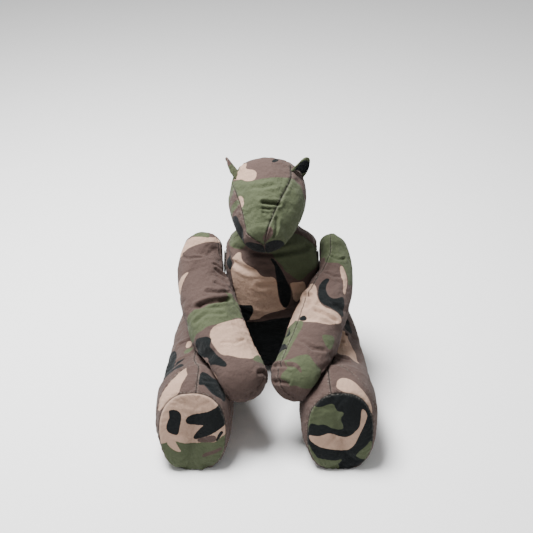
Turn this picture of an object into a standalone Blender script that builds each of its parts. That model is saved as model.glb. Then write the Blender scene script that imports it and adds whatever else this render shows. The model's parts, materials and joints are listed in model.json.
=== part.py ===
"""Sitting training dummy sewn in the shape of a bear: a stuffed torso, a head with cupped ears,
two arms that rest on the thighs and two legs that lie forward, each cut from flat cloth panels.

Metres, +Z up. The front faces -Y. Left and right are as seen from the front, so left is -X.
Every form is a row of oval sections. Its panels are strips of that surface with cloth thickness,
and its filling is the same surface set in by the cloth."""

import math
from collections import namedtuple

import bmesh
import bpy
from mathutils import Matrix, Vector

# Cloth and sewing
CLOTH = 0.0012
SEAM_GAP = 0.0009
FILLING_GAP = 0.0012
JOINT_GAP = 0.0034
BAND_THICKNESS = 0.0024

# Torso: upright, flat underneath, with a ball-shaped top that the head sits on
TORSO_LEAN = 0.010
TORSO_SQUARENESS = 2.4
NECK_HEIGHT = 0.270
NECK_BACK = 0.008
NECK_RADIUS = 0.060
NECK_DOME_ANGLE = math.radians(51)
HIP_HALF_WIDTH = 0.074
SHOULDER_HALF_WIDTH = 0.094
WIDENING_START = 0.37 * NECK_HEIGHT
WIDENING_END = 0.70 * NECK_HEIGHT
TORSO_SECTIONS = (
    # share of the neck height, share of lean, half width over the sides' half width, half depth
    (0.000, 0.0, 0.784, 0.056),
    (0.030, 0.0, 0.946, 0.069),
    (0.111, 0.0, 1.068, 0.079),
    (0.259, 0.1, 1.081, 0.084),
    (0.352, 0.2, 1.095, 0.086),
    (0.444, 0.4, 1.083, 0.087),
    (0.593, 0.8, 1.120, 0.089),
    (0.759, 1.0, 1.106, 0.087),
    (0.896, 1.0, 1.096, 0.081),
    (0.978, 1.0, 1.000, 0.069),
    (1.037, 0.9, 0.851, 0.057),
    (1.093, 0.7, 0.660, 0.047),
)
TORSO_SEAM_ANGLES = {
    "torso_front": (-172, -8),
    "torso_back_right": (-8, 90),
    "torso_back_left": (90, 188),
}

# Head: one egg-shaped form along a line that points at the nose
HEAD_CENTRE = (0.002, 0.002, NECK_HEIGHT + 0.114)
HEAD_TILT = math.radians(22)
HEAD_TURN = math.radians(-3.5)
HEAD_ROLL = math.radians(5)
HEAD_SQUARENESS = 2.1
HEAD_BACK_LENGTH = 0.040
NOSE_LENGTH = 0.026
HEAD_SECTIONS = (
    # distance towards the nose, drop, half width, half height
    (-0.024, 0.000, 0.0710, 0.0620),
    (0.004, 0.000, 0.0755, 0.0650),
    (0.032, 0.001, 0.0735, 0.0635),
    (0.060, 0.002, 0.0655, 0.0570),
    (0.084, 0.004, 0.0550, 0.0490),
    (0.102, 0.005, 0.0440, 0.0410),
)
GUSSET_HALF_ANGLES = (30, 50, 52, 44, 37, 34, 33, 31, 30)

# Ears: two layers of cloth, cupped and sewn across the gusset seam
EAR_HEIGHT = 0.031
EAR_WIDTH = 0.038
EAR_CUP = 0.009
EAR_CORNER_CUT = 0.86
EAR_CORNER_POWERS = (2.4, 0.6)
EAR_NARROWING = 0.20
EAR_COLUMNS = 8
EAR_ROWS = 5
EAR_PLACE = -0.020
EAR_ANGLES = {"left": math.radians(58), "right": math.radians(62)}
EAR_UPRIGHT = 0.7
EAR_TWISTS = {"left": math.radians(62), "right": math.radians(12)}

# Arms: centre line and half sizes, from the shoulder to the paw
ARM_TOP_LENGTH = 0.031
PAW_LENGTH = 0.045
SHOULDER_AXIS = (-0.006, 0.837 * NECK_HEIGHT)
SHOULDER_BAND_RADIUS = 0.025
ARM_SQUARENESS = 2.15
SHOULDER_SECTION = 7
ARM_HUG_GAP = 0.006
ARM_SECTIONS = {
    "left": (
        # distance out from the line shoulder to middle, y, share of the neck height, half width, half height
        (0.0340, -0.002, 0.9630, 0.0400, 0.0340),
        (0.0527, -0.020, 0.8741, 0.0455, 0.0420),
        (0.0643, -0.054, 0.7852, 0.0510, 0.0450),
        (0.0670, -0.100, 0.7074, 0.0560, 0.0460),
        (0.0647, -0.155, 0.6222, 0.0570, 0.0460),
        (0.0588, -0.212, 0.5556, 0.0560, 0.0460),
        (0.0500, -0.270, 0.5111, 0.0525, 0.0450),
    ),
    "right": (
        (0.0410, -0.002, 0.9556, 0.0290, 0.0320),
        (0.0587, -0.020, 0.8741, 0.0340, 0.0400),
        (0.0703, -0.054, 0.7889, 0.0400, 0.0440),
        (0.0700, -0.098, 0.7333, 0.0470, 0.0460),
        (0.0677, -0.152, 0.6667, 0.0520, 0.0460),
        (0.0648, -0.212, 0.5815, 0.0540, 0.0460),
        (0.0590, -0.270, 0.5111, 0.0515, 0.0450),
    ),
}
ARM_SEAM_ANGLES = {"left": (20, 32), "right": (104, 134)}

# Legs: centre line, pitch and half sizes, from the hip to the sole
LEG_REACH = 0.350
HIP_AXIS = (0.004, 0.058)
HIP_BAND_RADIUS = 0.030
HIP_END_LENGTH = 0.048
SOLE_BULGE = 0.009
LEG_SQUARENESS = 2.1
LEG_LEAVES_TORSO = -0.085
LEG_SECTIONS = (
    # distance out from the hip, share of the reach, z, pitch, half width, half height
    (0.0560, -0.0286, 0.0575, 0, 0.0540, 0.0580),
    (0.0580, 0.1714, 0.0600, 0, 0.0580, 0.0610),
    (0.0595, 0.3714, 0.0640, 2, 0.0610, 0.0650),
    (0.0605, 0.5714, 0.0690, 4, 0.0635, 0.0700),
    (0.0615, 0.7143, 0.0755, 8, 0.0655, 0.0745),
)
FOOT_SQUARENESS = 2.4
FOOT_SECTIONS = (
    (0.0615, 0.7143, 0.0750, 8, 0.0675, 0.0820),
    (0.0617, 0.8286, 0.0740, 11, 0.0690, 0.0845),
    (0.0620, 0.9286, 0.0735, 13, 0.0680, 0.0855),
    (0.0620, 1.0000, 0.0740, 15, 0.0620, 0.0820),
)
THIGH_GAP = 0.0048
LEG_SEAM_ANGLE = math.radians(90)

# Seam bands
NECK_BAND_ANGLES = (12, 16, 20, 24)
BAND_WIDTH = 0.006
BAND_STEPS = 16

# How finely the forms are drawn
PANEL_STEP = math.radians(24)
ARM_PANEL_STEP = math.radians(20)
CAP_RINGS = 4

COLOURS = {
    "green": (0.155, 0.165, 0.110),
    "brown": (0.205, 0.145, 0.130),
    "tan": (0.535, 0.410, 0.340),
    "black": (0.020, 0.025, 0.025),
    "thread": (0.090, 0.080, 0.065),
    "filling": (0.780, 0.770, 0.740),
}

SIDES = {"left": -1, "right": 1}

Ring = namedtuple("Ring", "centre side up facing half_width half_height power")


# ---------------------------------------------------------------- forms

def ring_at(centre, facing, reference, half_width, half_height, power=2.0, roll=0.0):
    """One oval section: side and up lie in its plane, facing stands on it."""
    facing = Vector(facing).normalized()
    side = Vector(reference).cross(facing).normalized()
    side = Matrix.Rotation(roll, 3, facing) @ side
    return Ring(Vector(centre), side, facing.cross(side), facing, half_width, half_height, power)


def smooth_rows(rows, steps):
    """Rows of numbers joined by a smooth curve through each of them, with steps between rows."""
    padded = [[2 * a - b for a, b in zip(rows[0], rows[1])]] + [list(row) for row in rows]
    padded.append([2 * a - b for a, b in zip(rows[-1], rows[-2])])
    result = []
    for index in range(len(rows) - 1):
        before, start, end, after = padded[index:index + 4]
        for step in range(steps):
            t = step / steps
            result.append([
                0.5 * (2 * q + (r - p) * t + (2 * p - 5 * q + 4 * r - s) * t ** 2
                       + (3 * q - p - 3 * r + s) * t ** 3)
                for p, q, r, s in zip(before, start, end, after)
            ])
    result.append(list(rows[-1]))
    return result


def cap_rings(ring, length, start_angle=math.pi / 2, rings=CAP_RINGS):
    """Sections that round off an open end along its facing, and the point at the very end."""
    capped = []
    for step in range(1, rings):
        angle = start_angle * (1 - step / rings)
        share = math.sin(angle) / math.sin(start_angle)
        offset = length * (math.cos(angle) - math.cos(start_angle))
        capped.append(ring._replace(
            centre=ring.centre + ring.facing * offset,
            half_width=ring.half_width * share,
            half_height=ring.half_height * share,
        ))
    tip = ring.centre + ring.facing * length * (1 - math.cos(start_angle))
    return capped, tip


def back_cap(ring, length):
    """The same rounding at the first end of a form, in order from the tip inwards."""
    capped, tip = cap_rings(ring, -length)
    return capped[::-1], tip


def point_on(ring, angle):
    """A point of the section. A power above 2 makes the oval squarer."""
    across = math.cos(angle)
    upward = math.sin(angle)
    reach = (abs(across) ** ring.power + abs(upward) ** ring.power) ** (-1 / ring.power)
    return (ring.centre + ring.side * (ring.half_width * across * reach)
            + ring.up * (ring.half_height * upward * reach))


# ---------------------------------------------------------------- meshes

def new_object(name, bm, material, parent):
    """Makes a smooth-shaded object from the mesh and places it under its joint's empty."""
    mesh = bpy.data.meshes.new(name)
    bmesh.ops.recalc_face_normals(bm, faces=bm.faces)
    bmesh.ops.translate(bm, verts=bm.verts, vec=-parent.location)
    bm.to_mesh(mesh)
    bm.free()
    mesh.shade_smooth()
    mesh.set_sharp_from_angle(angle=math.radians(50))
    mesh.materials.append(material)
    obj = bpy.data.objects.new(name, mesh)
    bpy.context.scene.collection.objects.link(obj)
    obj.parent = parent
    return obj


def skin(bm, rows, first_tip=None, last_tip=None, closed=False):
    """Joins rows of points into faces, with a fan at each tip."""
    grid = [[bm.verts.new(point) for point in row] for row in rows]
    columns = len(grid[0])
    spans = range(columns if closed else columns - 1)
    for lower, upper in zip(grid, grid[1:]):
        for j in spans:
            k = (j + 1) % columns
            bm.faces.new((lower[j], lower[k], upper[k], upper[j]))
    if first_tip is not None:
        tip = bm.verts.new(first_tip)
        for j in spans:
            bm.faces.new((tip, grid[0][(j + 1) % columns], grid[0][j]))
    if last_tip is not None:
        tip = bm.verts.new(last_tip)
        for j in spans:
            bm.faces.new((tip, grid[-1][j], grid[-1][(j + 1) % columns]))


def cloth_panel(name, rings, spans, material, parent, press, tips=(None, None), step=PANEL_STEP):
    """A strip of the form between two angles at each ring, given the cloth's thickness inwards.
    It is moved out by half the seam gap, so that it stays clear of the panels beside it."""
    shifts = []
    for ring, (start, end) in zip(rings, spans):
        angle = (start + end) / 2
        outward = ring.side * math.cos(angle) + ring.up * math.sin(angle)
        shifts.append(outward * SEAM_GAP / 2)
    rows = []
    for ring, angles, shift in zip(rings, panel_angles(spans, step), shifts):
        rows.append([press(point_on(ring, a)) + shift for a in angles])
    tips = [tip and press(tip) + shift for tip, shift in zip(tips, (shifts[0], shifts[-1]))]
    bm = bmesh.new()
    skin(bm, rows, *tips)
    obj = new_object(name, bm, material, parent)
    face_outwards(obj, rings[len(rings) // 2].centre - parent.location)
    give_thickness(obj, CLOTH)
    return obj


def panel_angles(spans, step=PANEL_STEP):
    """For each ring, evenly spaced angles from one edge of a panel to the other."""
    widest = max(end - start for start, end in spans)
    columns = round(widest / step)
    return [[a + (b - a) * j / columns for j in range(columns + 1)] for a, b in spans]


def face_outwards(obj, inside):
    """Turns an open sheet's faces away from a point inside the form."""
    mesh = obj.data
    facing_out = sum((face.center - inside).dot(face.normal) for face in mesh.polygons)
    if facing_out < 0:
        mesh.flip_normals()


def give_thickness(obj, thickness, side=-1):
    solidify = obj.modifiers.new("cloth", "SOLIDIFY")
    solidify.thickness = thickness
    solidify.offset = side


def filling(name, rings, panels, tips, material, parent, press, step=PANEL_STEP):
    """The stuffing: the whole form, set in from its panels by the cloth and a small gap."""
    rows = []
    for ring, parts in zip(rings, zip(*[panel_angles(spans, step) for spans in panels])):
        rows.append([press(point_on(ring, a)) for angles in parts for a in angles[:-1]])
    bm = bmesh.new()
    skin(bm, rows, press(tips[0]), press(tips[1]), closed=True)
    bmesh.ops.recalc_face_normals(bm, faces=bm.faces)
    bm.normal_update()
    moves = [(vert, vert.normal * (CLOTH + FILLING_GAP)) for vert in bm.verts]
    for vert, move in moves:
        vert.co -= move
    return new_object(name, bm, material, parent)


def seam_band(name, outline, centre, axis, material, parent):
    """A turned-in seam allowance: an outline of (distance along the axis, radius) spun round it."""
    axis = Vector(axis).normalized()
    out = axis.orthogonal().normalized()
    bm = bmesh.new()
    verts = [bm.verts.new(Vector(centre) + axis * along + out * radius) for along, radius in outline]
    edges = [bm.edges.new((a, b)) for a, b in zip(verts, verts[1:] + verts[:1])]
    bmesh.ops.spin(bm, geom=verts + edges, cent=centre, axis=axis, angle=2 * math.pi,
                   steps=BAND_STEPS, use_merge=True)
    return new_object(name, bm, material, parent)


def flat_band_outline(radius):
    """A flat ring with softened edges, as a section through it."""
    half = BAND_THICKNESS / 2
    return (
        (-half, radius - BAND_WIDTH), (-half, radius - half), (0, radius),
        (half, radius - half), (half, radius - BAND_WIDTH),
    )


# ---------------------------------------------------------------- materials and empties

def cloth_material(name, colour, roughness=0.85):
    material = bpy.data.materials.new(name)
    material.use_nodes = True
    shader = material.node_tree.nodes["Principled BSDF"]
    shader.inputs["Base Color"].default_value = (*COLOURS[colour], 1)
    shader.inputs["Roughness"].default_value = roughness
    shader.inputs["Metallic"].default_value = 0
    material.diffuse_color = (*COLOURS[colour], 1)
    return material


def empty_at(name, place, parent=None):
    """An empty on a joint's axis. Its children are placed from it."""
    empty = bpy.data.objects.new(name, None)
    empty.empty_display_size = 0.03
    bpy.context.scene.collection.objects.link(empty)
    empty.location = place
    if parent:
        empty.parent = parent
    return empty


# ---------------------------------------------------------------- torso

def torso_half_width(height):
    """Half the distance between the flat sides: narrow at the hips, wide at the shoulders."""
    share = (height - WIDENING_START) / (WIDENING_END - WIDENING_START)
    share = min(1.0, max(0.0, share))
    return HIP_HALF_WIDTH + (SHOULDER_HALF_WIDTH - HIP_HALF_WIDTH) * share, TORSO_LEAN * share


def torso_rings():
    rings = []
    for share, lean, width, half_depth in TORSO_SECTIONS:
        height = share * NECK_HEIGHT
        half_width = width * torso_half_width(height)[0]
        rings.append(ring_at((TORSO_LEAN * lean, 0, height), (0, 0, 1), (0, 1, 0),
                             half_width, half_depth, TORSO_SQUARENESS))
    collar_height = NECK_HEIGHT + NECK_RADIUS * math.cos(NECK_DOME_ANGLE)
    collar_radius = NECK_RADIUS * math.sin(NECK_DOME_ANGLE)
    collar = ring_at((neck_centre().x, NECK_BACK, collar_height), (0, 0, 1), (0, 1, 0),
                     collar_radius, collar_radius)
    dome, top = cap_rings(collar, NECK_RADIUS, NECK_DOME_ANGLE, CAP_RINGS + 1)
    base, bottom = back_cap(rings[0], 0.0)
    return base[-1:] + rings + [collar] + dome, (bottom, top)


def neck_centre():
    return Vector((TORSO_LEAN / 2, NECK_BACK, NECK_HEIGHT))


def press_torso(point):
    """Flattens the sides of the torso where the arms and the legs are sewn on."""
    half_width, middle = torso_half_width(point.z)
    x = min(max(point.x, middle - half_width), middle + half_width)
    return Vector((x, point.y, max(point.z, 0.0)))


def build_torso(root, materials):
    rings, tips = torso_rings()
    panels = []
    for name, span in TORSO_SEAM_ANGLES.items():
        panels.append([tuple(math.radians(a) for a in span)] * len(rings))
        cloth_panel(name, rings, panels[-1], materials[name], root, press_torso, tips)
    filling("torso_filling", rings, panels, tips, materials["torso_filling"], root, press_torso)


# ---------------------------------------------------------------- head

def head_axes():
    turn = Matrix.Rotation(HEAD_TURN, 3, "Z")
    facing = turn @ Vector((0, -math.cos(HEAD_TILT), -math.sin(HEAD_TILT)))
    return facing, turn @ Vector((0, 0, 1))


def head_ring(along, drop, half_width, half_height):
    facing, reference = head_axes()
    ring = ring_at(HEAD_CENTRE, facing, reference, half_width, half_height, HEAD_SQUARENESS, HEAD_ROLL)
    return ring._replace(centre=ring.centre + facing * along - ring.up * drop)


def head_rings():
    rings = []
    for along, drop, half_width, half_height in smooth_rows(HEAD_SECTIONS, 2):
        rings.append(head_ring(along, drop, half_width, half_height))
    back, nape = back_cap(rings[0], HEAD_BACK_LENGTH)
    nose, tip = cap_rings(rings[-1], NOSE_LENGTH)
    return back + rings + nose, (nape, tip)


def gusset_angles(count):
    """Half the gusset's angle at each section, widest at the ears."""
    rows = [(float(a),) for a in GUSSET_HALF_ANGLES]
    fine = smooth_rows(rows, 8)
    picks = [fine[round(i * (len(fine) - 1) / (count - 1))][0] for i in range(count)]
    return [math.radians(a) for a in picks]


def as_is(point):
    return point


def neck_cutter(root):
    """The ball that hollows the underside of the head, so that it seats on the torso's dome."""
    bm = bmesh.new()
    bmesh.ops.create_uvsphere(bm, u_segments=32, v_segments=20, radius=NECK_RADIUS + JOINT_GAP)
    bmesh.ops.translate(bm, verts=bm.verts, vec=neck_centre())
    cutter = new_object("neck_cutter", bm, bpy.data.materials.new("cutter"), root)
    cutter.hide_render = True
    cutter.display_type = "WIRE"
    return cutter


def hollow_for_neck(obj, cutter):
    cut = obj.modifiers.new("neck cup", "BOOLEAN")
    cut.operation = "DIFFERENCE"
    cut.object = cutter
    cut.solver = "EXACT"


def build_head(root, joint, materials):
    rings, tips = head_rings()
    halves = gusset_angles(len(rings))
    top = math.pi / 2
    spans = {
        "head_gusset": [(top - half, top + half) for half in halves],
        "head_side_right": [(-top, top - half) for half in halves],
        "head_side_left": [(top + half, 3 * top) for half in halves],
    }
    cutter = neck_cutter(root)
    for name, span in spans.items():
        panel = cloth_panel(name, rings, span, materials[name], joint, as_is, tips)
        if name != "head_gusset":
            hollow_for_neck(panel, cutter)
    panels = [spans["head_side_right"], spans["head_gusset"], spans["head_side_left"]]
    stuffing = filling("head_filling", rings, panels, tips, materials["head_filling"], joint, as_is)
    hollow_for_neck(stuffing, cutter)
    for side, sign in SIDES.items():
        build_ear(side, sign, joint, materials)


def head_surface(along, angle):
    """A point on the head's cloth at a distance towards the nose and an angle round it."""
    fine = smooth_rows(HEAD_SECTIONS, 12)
    after = next(i for i, row in enumerate(fine) if row[0] > along)
    low, high = fine[after - 1], fine[after]
    share = (along - low[0]) / (high[0] - low[0])
    return point_on(head_ring(*[a + (b - a) * share for a, b in zip(low, high)]), angle)


def build_ear(side, sign, joint, materials):
    """Two cupped layers that stand on the head across the gusset seam."""
    facing, _ = head_axes()
    angle = math.pi / 2 - sign * EAR_ANGLES[side]
    foot = head_surface(EAR_PLACE, angle)
    normal = (foot - Vector(HEAD_CENTRE)).normalized()
    out = (normal + Vector((0, 0, EAR_UPRIGHT))).normalized()
    round_head = facing.cross(normal).normalized()
    twist = sign * EAR_TWISTS[side]
    radius = (foot - Vector(HEAD_CENTRE)).length
    rows = ear_rows(angle, out, round_head, facing, twist, radius)
    for layer, offset in (("front", 0.0), ("back", CLOTH + SEAM_GAP)):
        name = f"ear_{layer}_{side}"
        bm = bmesh.new()
        skin(bm, rows)
        bm.normal_update()
        backwards = sum((face.normal for face in bm.faces), Vector()).dot(facing) < 0
        for vert in list(bm.verts):
            vert.co += vert.normal * (offset if backwards else -offset)
        panel = new_object(name, bm, materials[name], joint)
        give_thickness(panel, CLOTH, 0)


def ear_rows(angle, out, round_head, facing, twist, radius):
    """Rows of points up the ear. Its foot follows the round of the head at each point."""
    across_power, height_power = EAR_CORNER_POWERS
    rows = []
    for step in range(EAR_ROWS + 1):
        height = step / EAR_ROWS
        row = []
        for j in range(EAR_COLUMNS + 1):
            place = 2 * j / EAR_COLUMNS - 1
            outline = (1 - EAR_CORNER_CUT * abs(place) ** across_power) ** height_power
            across = place * EAR_WIDTH / 2
            cup = EAR_CUP * (1 - place ** 2)
            sideways = across * math.cos(twist) + cup * math.sin(twist)
            forwards = across * math.sin(twist) - cup * math.cos(twist)
            foot = head_surface(EAR_PLACE + forwards, angle + sideways / radius)
            narrowing = -EAR_NARROWING * height ** 2 * across
            along_ear = round_head * math.cos(twist) + facing * math.sin(twist)
            lift = CLOTH + SEAM_GAP + EAR_HEIGHT * height * outline
            row.append(foot + out * lift + along_ear * narrowing)
        rows.append(row)
    return rows


# ---------------------------------------------------------------- arms

def arm_rings(side):
    last = len(ARM_SECTIONS[side]) - 1
    sections = []
    for index, (out, y, height, half_width, half_height) in enumerate(ARM_SECTIONS[side]):
        across = SIDES[side] * (out + SHOULDER_HALF_WIDTH * (1 - index / last))
        sections.append((across, y, height * NECK_HEIGHT, half_width, half_height))
    rows = smooth_rows(sections, 2)
    places = [Vector(row[:3]) for row in rows]
    rings = []
    for index, row in enumerate(rows):
        before = places[max(index - 1, 0)]
        after = places[min(index + 1, len(rows) - 1)]
        rings.append(ring_at(row[:3], after - before, (0, 0, 1),
                             row[3], row[4], ARM_SQUARENESS))
    top, shoulder_tip = back_cap(rings[0], ARM_TOP_LENGTH)
    paw, paw_tip = cap_rings(rings[-1], PAW_LENGTH)
    return top + rings + paw, (shoulder_tip, paw_tip)


def thigh_at(y):
    """The leg's section at a place along it: x, z, half width, half height and squareness."""
    rows = [(*row, LEG_SQUARENESS) for row in leg_sections(LEG_SECTIONS[:-1])]
    rows += [(*row, FOOT_SQUARENESS) for row in leg_sections(FOOT_SECTIONS)]
    rows = [(x, y + h * math.sin(math.radians(pitch)) + THIGH_GAP / 2, z, pitch, w, h, power)
            for x, y, z, pitch, w, h, power in rows]
    fine = smooth_rows(rows, 6)
    for before, after in zip(fine, fine[1:]):
        if after[1] <= y <= before[1]:
            share = (y - before[1]) / (after[1] - before[1])
            x, _, z, _, half_width, half_height, power = [
                a + (b - a) * share for a, b in zip(before, after)]
            return x, z, half_width + THIGH_GAP, half_height + THIGH_GAP, power
    return None


def beside_torso(y, sign):
    """How near the middle an arm may lie at a place from front to back: it hugs the torso."""
    _, _, width, half_depth = TORSO_SECTIONS[SHOULDER_SECTION]
    depth = half_depth + ARM_HUG_GAP
    share = min(1.0, abs(y) / depth)
    reach = (1 - share ** TORSO_SQUARENESS) ** (1 / TORSO_SQUARENESS)
    round_side = (width * SHOULDER_HALF_WIDTH + ARM_HUG_GAP) * reach
    return sign * TORSO_LEAN + min(SHOULDER_HALF_WIDTH + JOINT_GAP, round_side)


def press_arm(sign):
    """Keeps the upper arm off the torso, and hollows the arm where it rests on the leg."""
    def press(point):
        across = sign * point.x
        if abs(point.y) < TORSO_SECTIONS[SHOULDER_SECTION][-1] + ARM_HUG_GAP:
            across = max(across, beside_torso(point.y, sign))
        height = point.z
        thigh = thigh_at(point.y)
        if thigh:
            x, z, half_width, half_height, power = thigh
            u = (across - x) / half_width
            v = (height - z) / half_height
            reach = (abs(u) ** power + abs(v) ** power) ** (1 / power)
            if 0 < reach < 1:
                across = x + (across - x) / reach
                height = z + (height - z) / reach
        return Vector((sign * across, point.y, height))

    return press


def build_arm(side, sign, joint, materials):
    rings, tips = arm_rings(side)
    first, last = ARM_SEAM_ANGLES[side]
    seam = [math.radians(first + (last - first) * i / (len(rings) - 1)) for i in range(len(rings))]
    press = press_arm(sign)
    spans = {
        "upper": [(a, a + math.pi) for a in seam],
        "under": [(a - math.pi, a) for a in seam],
    }
    if side == "right":
        spans = {"under": spans["upper"], "upper": spans["under"]}
    for layer, span in spans.items():
        name = f"arm_{layer}_{side}"
        cloth_panel(name, rings, span, materials[name], joint, press, tips, ARM_PANEL_STEP)
    name = f"arm_filling_{side}"
    panels = sorted(spans.values())
    filling(name, rings, panels, tips, materials[name], joint, press, ARM_PANEL_STEP)


# ---------------------------------------------------------------- legs

def leg_sections(table):
    """The table's rows with their places in metres, for the leg on the right."""
    return [(HIP_HALF_WIDTH + out, -LEG_REACH * share, *rest) for out, share, *rest in table]


def leg_rings(table, sign, steps, squareness):
    rings = []
    for x, y, z, pitch, half_width, half_height in smooth_rows(leg_sections(table), steps):
        facing = (0, -math.cos(math.radians(pitch)), math.sin(math.radians(pitch)))
        rings.append(ring_at((sign * x, y, z), facing, (0, 0, 1),
                             half_width, half_height, squareness))
    return rings


def moved_on(ring, distance):
    """The same section a little further along its form."""
    return ring._replace(centre=ring.centre + ring.facing * distance)


def press_leg(sign):
    """Flattens the leg on the floor and where it is sewn to the torso."""
    patch = HIP_HALF_WIDTH + JOINT_GAP

    def press(point):
        across = max(sign * point.x, patch) if point.y > LEG_LEAVES_TORSO else sign * point.x
        return Vector((sign * across, point.y, max(point.z, 0.0)))

    return press


def build_leg(side, sign, joint, materials):
    tube = leg_rings(LEG_SECTIONS, sign, 2, LEG_SQUARENESS)
    foot = leg_rings(FOOT_SECTIONS, sign, 2, FOOT_SQUARENESS)
    hip_end, hip_tip = back_cap(tube[0], HIP_END_LENGTH)
    press = press_leg(sign)
    seam = LEG_SEAM_ANGLE
    inner = [(seam, seam + math.pi)] * len(hip_end + tube)
    outer = [(seam - math.pi, seam)] * len(hip_end + tube)
    if sign < 0:
        inner, outer = outer, inner
    upper = [moved_on(ring, SEAM_GAP) for ring in foot]
    for layer, spans in (("inner", inner), ("outer", outer)):
        name = f"leg_{layer}_{side}"
        cloth_panel(name, hip_end + tube, spans, materials[name], joint, press, (hip_tip, None))
        name = f"foot_{layer}_{side}"
        cloth_panel(name, upper, spans[:len(upper)], materials[name], joint, press)
    build_sole(side, foot[-1], joint, materials, press)
    sole, sole_tip = cap_rings(foot[-1], SOLE_BULGE)
    stuffed = hip_end + tube + foot[1:] + sole
    panels = [[span] * len(stuffed) for span in sorted((inner[0], outer[0]))]
    name = f"leg_filling_{side}"
    filling(name, stuffed, panels, (hip_tip, sole_tip), materials[name], joint, press)


def build_sole(side, edge, joint, materials, press):
    """The oval sole, sewn round its edge and pushed out a little by the filling."""
    edge = moved_on(edge, 2 * SEAM_GAP + CLOTH)
    dome, tip = cap_rings(edge, SOLE_BULGE, rings=5)
    angles = panel_angles([(0, 2 * math.pi)])[0][:-1]
    rows = [[press(point_on(ring, a)) for a in angles] for ring in [edge] + dome]
    bm = bmesh.new()
    skin(bm, rows, last_tip=press(tip), closed=True)
    name = f"sole_{side}"
    sole = new_object(name, bm, materials[name], joint)
    face_outwards(sole, edge.centre - joint.location - edge.facing * edge.half_width)
    give_thickness(sole, CLOTH)


# ---------------------------------------------------------------- seams between the forms

def build_neck_band(joint, materials):
    """The head's turned-in neck edge: a ring of a ball's shell between the dome and the cup."""
    inner = NECK_RADIUS + (JOINT_GAP - BAND_THICKNESS) / 2
    outer = inner + BAND_THICKNESS
    angles = [math.radians(a) for a in NECK_BAND_ANGLES]
    outline = [(inner * math.cos(a), inner * math.sin(a)) for a in angles]
    outline += [(outer * math.cos(a), outer * math.sin(a)) for a in angles[::-1]]
    seam_band("neck_seam_band", outline, neck_centre(), (0, 0, 1), materials["neck_seam_band"], joint)


def build_limb_bands(root, materials):
    for side, sign in SIDES.items():
        middle = sign * (SHOULDER_HALF_WIDTH + JOINT_GAP / 2) + TORSO_LEAN
        name = f"shoulder_seam_{side}"
        seam_band(name, flat_band_outline(SHOULDER_BAND_RADIUS),
                  Vector((middle, *SHOULDER_AXIS)), (1, 0, 0), materials[name], root)
        middle = sign * (HIP_HALF_WIDTH + JOINT_GAP / 2)
        name = f"hip_seam_{side}"
        seam_band(name, flat_band_outline(HIP_BAND_RADIUS),
                  Vector((middle, *HIP_AXIS)), (1, 0, 0), materials[name], root)


# ---------------------------------------------------------------- the whole dummy

PANEL_COLOURS = {
    "torso_front": "brown", "torso_back_left": "green", "torso_back_right": "brown",
    "torso_filling": "filling", "head_filling": "filling", "neck_seam_band": "thread",
    "head_gusset": "green", "head_side_left": "brown", "head_side_right": "green",
}
SIDE_COLOURS = {
    "ear_front": "black", "ear_back": "green", "arm_upper": "brown", "arm_under": "green",
    "arm_filling": "filling", "leg_inner": "black", "leg_outer": "brown", "foot_inner": "tan",
    "foot_outer": "brown", "sole": "tan", "leg_filling": "filling",
    "shoulder_seam": "thread", "hip_seam": "thread",
}


def make_materials():
    colours = dict(PANEL_COLOURS)
    for side in SIDES:
        colours.update({f"{name}_{side}": colour for name, colour in SIDE_COLOURS.items()})
    return {name: cloth_material(name, colour) for name, colour in colours.items()}


def stand_on_origin(root):
    """Moves the whole dummy so that the origin is under the middle of its box, on the floor."""
    bpy.context.view_layer.update()
    graph = bpy.context.evaluated_depsgraph_get()
    corners = []
    for obj in bpy.data.objects:
        if obj.type == "MESH" and not obj.hide_render:
            shape = obj.evaluated_get(graph)
            corners += [shape.matrix_world @ Vector(corner) for corner in shape.bound_box]
    low = Vector([min(corner[i] for corner in corners) for i in range(3)])
    high = Vector([max(corner[i] for corner in corners) for i in range(3)])
    root.location = -Vector(((low.x + high.x) / 2, (low.y + high.y) / 2, low.z))
    bpy.context.view_layer.update()


def main():
    for obj in list(bpy.data.objects):
        bpy.data.objects.remove(obj, do_unlink=True)
    materials = make_materials()
    root = empty_at("dummy", (0, 0, 0))
    neck = empty_at("neck_joint", neck_centre(), root)
    build_torso(root, materials)
    build_head(root, neck, materials)
    build_neck_band(neck, materials)
    build_limb_bands(root, materials)
    for side, sign in SIDES.items():
        across = sign * SHOULDER_HALF_WIDTH + TORSO_LEAN
        shoulder = empty_at(f"shoulder_joint_{side}", (across, *SHOULDER_AXIS), root)
        build_arm(side, sign, shoulder, materials)
        hip = empty_at(f"hip_joint_{side}", (sign * HIP_HALF_WIDTH, *HIP_AXIS), root)
        build_leg(side, sign, hip, materials)
    stand_on_origin(root)


main()
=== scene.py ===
"""Dresses the sitting training dummy: camouflage cloth over stuffed forms, on a pale floor.

Metres, +Z up, in the frame's own place. Left and right are as seen from the front, so left is -X.
Each stuffed form is a dense grid over a row of oval sections. A point of it is named by its
station (how far along the sections) and its angle round the section, in degrees."""

import json
import math
from collections import namedtuple

import bmesh
import bpy
import numpy as np
from mathutils import Matrix, Vector, bvhtree, noise


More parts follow.
